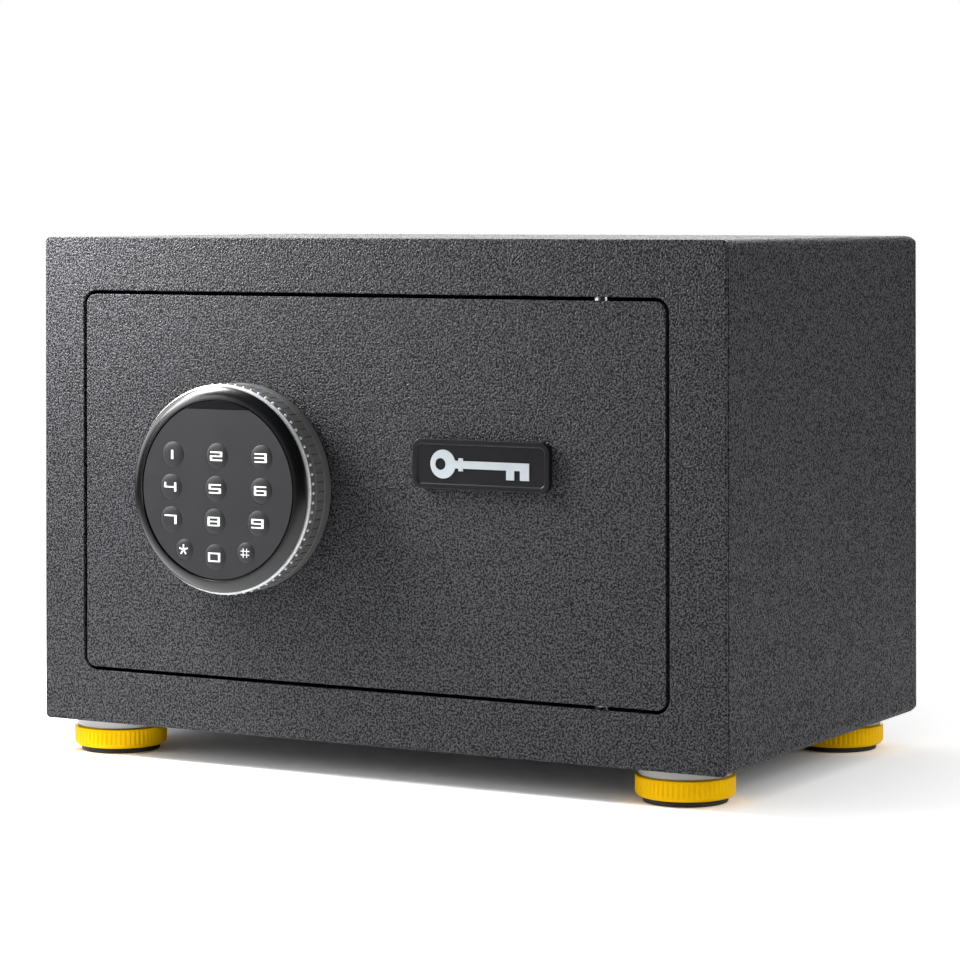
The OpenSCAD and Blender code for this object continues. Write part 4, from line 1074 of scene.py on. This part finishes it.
# White panels that polished pieces mirror: the way to each, how near to it (as a cosine) its edge and its
# full light begin, and how bright it looks
PANELS = (
    ((-0.5, -0.87, 0.0), 0.9, 0.97, 0.2),
    ((-0.75, 0.05, 0.58), 0.72, 0.9, 4.0),
    ((-0.5, 0.86, 0.1), 0.8, 0.95, 4.8),
    ((0.95, -0.3, 0.0), 0.97, 0.99, 4.0),
)
# Soft lamps: where each stands, where it points, its side in metres and its watts
UPPER_CORNER = (-0.15, -0.085, 0.2)
LAMPS = {
    "key_softbox": ((-0.55, -0.62, 0.3), UPPER_CORNER, 0.25, 1.05),
    "near_softbox": ((-0.22, -0.16, 0.32), UPPER_CORNER, 0.1, 1.74),
    "corner_softbox": ((-0.25, -0.2, 0.24), UPPER_CORNER, 0.08, 0.39),
    "right_softbox": ((1.3, 0.15, 0.6), (0.15, 0.1, 0.1), 0.6, 4.6),
    "floor_softbox": ((0.5, 0.1, 0.3), (0.36, 0.1, 0.0), 0.2, 0.12),
}
# How bright the room is between the panels, how bright the sky, and over which metres the floor gives way
ROOM_GLOW = 0.03
SKY = 0.62
FLOOR_FADE = (0.4, 0.9)
# The camera, level, with a long lens shifted down; its place is taken from the front plate's foot
CAMERA_PLACE = (0.688196, -1.139526, 0.212164)
CAMERA_TURN = (math.pi / 2, 0.0012, 0.5096)
SENSOR_MM = 36.0
LENS_MM = 126.62
LENS_SHIFT = -0.2841


class SAFE_OT_stage(SafeStep, Operator):
    """Make the pale floor, the sky, the soft lamps and the camera"""

    bl_idname = "safe.stage"
    bl_label = "Stage"

    def make(self, s, f):
        bpy.context.scene.view_settings.view_transform = "Standard"
        self.make_floor()
        self.make_world()
        for name, (place, aim, side, power) in LAMPS.items():
            self.make_lamp(name, place, aim, side, power)
        self.make_camera()

    def make_floor(self):
        """Pale paper, which gives way to the white world far off."""
        bpy.ops.mesh.primitive_plane_add(size=12, location=(0, 0, 0))
        floor = settle(name_it("floor"))
        material = bpy.data.materials.new("pale paper floor")
        tree = blank_tree(material)
        rays = add(tree, "LightPath").outputs
        seen = add(tree, "Math", {0: rays["Is Camera Ray"], 1: rays["Is Glossy Ray"]},
                   operation="MAXIMUM").outputs[0]
        # The paper is seen brighter than it lights
        paper = add(tree, "BsdfDiffuse", {"Color": (0.85, 0.85, 0.85, 1)})
        shown = add(tree, "BsdfDiffuse", {"Color": (1.5, 1.5, 1.5, 1)})
        reach = add(tree, "VectorMath", {0: object_point(tree)}, operation="LENGTH")
        far = between(tree, reach.outputs["Value"], *FLOOR_FADE)
        beyond = add(tree, "BsdfTransparent")
        near = add(tree, "MixShader", {0: far, 1: shown.outputs[0], 2: beyond.outputs[0]})
        both = add(tree, "MixShader", {0: seen, 1: paper.outputs[0], 2: near.outputs[0]})
        add(tree, "OutputMaterial", {"Surface": both.outputs[0]})
        floor.data.materials.append(material)

    def make_world(self):
        """An even sky that lights, a dim room with panels that is mirrored, and white that is seen."""
        world = bpy.data.worlds.new("studio")
        bpy.context.scene.world = world
        tree = blank_tree(world)
        rays = add(tree, "LightPath").outputs
        way = add(tree, "TexCoord").outputs["Generated"]
        room = ROOM_GLOW
        for aim, start, full, strength in PANELS:
            near = add(tree, "VectorMath", {0: way, 1: Vector(aim).normalized()},
                       operation="DOT_PRODUCT").outputs["Value"]
            glow = between(tree, near, start, full, 0.0, strength)
            room = add(tree, "Math", {0: room, 1: glow}, operation="ADD").outputs[0]
        soft, mirrored, white = (
            add(tree, "Background", {"Color": (1, 1, 1, 1), "Strength": strength}).outputs[0]
            for strength in (SKY, room, 1.0))
        lit = add(tree, "MixShader", {0: rays["Is Glossy Ray"], 1: soft, 2: mirrored})
        both = add(tree, "MixShader", {0: rays["Is Camera Ray"], 1: lit.outputs[0], 2: white})
        add(tree, "OutputWorld", {"Surface": both.outputs[0]})

    def make_lamp(self, name, place, aim, side, power):
        bpy.ops.object.light_add(type="AREA", location=place)
        light = bpy.context.active_object
        light.name = name
        light.data.shape = "SQUARE"
        light.data.size = side
        light.data.energy = power
        light.rotation_euler = (Vector(aim) - Vector(place)).to_track_quat("-Z", "Y").to_euler()

    def make_camera(self):
        x, y, z = CAMERA_PLACE
        bpy.ops.object.camera_add(location=(x, y + FRONT_Y, z + FRONT[0].z))
        camera = bpy.context.active_object
        camera.rotation_euler = CAMERA_TURN
        camera.data.sensor_width = SENSOR_MM
        camera.data.lens = LENS_MM
        camera.data.shift_y = LENS_SHIFT
        camera.data.clip_start = 0.01
        camera.data.clip_end = 50
        bpy.context.scene.camera = camera


STEPS = (SAFE_OT_case, SAFE_OT_case_fittings, SAFE_OT_door, SAFE_OT_door_inside, SAFE_OT_lock_ring,
         SAFE_OT_keypad, SAFE_OT_keys, SAFE_OT_badge, SAFE_OT_feet, SAFE_OT_stage)


class SAFE_PT_panel(Panel):
    """Lists the steps of the build and the sizes and colours that they use"""

    bl_idname = "SAFE_PT_panel"
    bl_label = "Room safe"
    bl_space_type = "VIEW_3D"
    bl_region_type = "UI"
    bl_category = "Room safe"

    def draw(self, context):
        for step in STEPS:
            self.layout.operator(step.bl_idname)
        for group in (context.scene.safe_sizes, context.scene.safe_colours):
            column = self.layout.column()
            for name in group.__annotations__:
                column.prop(group, name)


CLASSES = (SafeSizes, SafeColours, *STEPS, SAFE_PT_panel)


def register():
    for cls in CLASSES:
        bpy.utils.register_class(cls)
    bpy.types.Scene.safe_sizes = PointerProperty(type=SafeSizes)
    bpy.types.Scene.safe_colours = PointerProperty(type=SafeColours)


def unregister():
    del bpy.types.Scene.safe_colours
    del bpy.types.Scene.safe_sizes
    for cls in reversed(CLASSES):
        bpy.utils.unregister_class(cls)


def main():
    register()
    for step in STEPS:
        area, name = step.bl_idname.split(".")
        getattr(getattr(bpy.ops, area), name)()


if __name__ == "__main__":
    main()
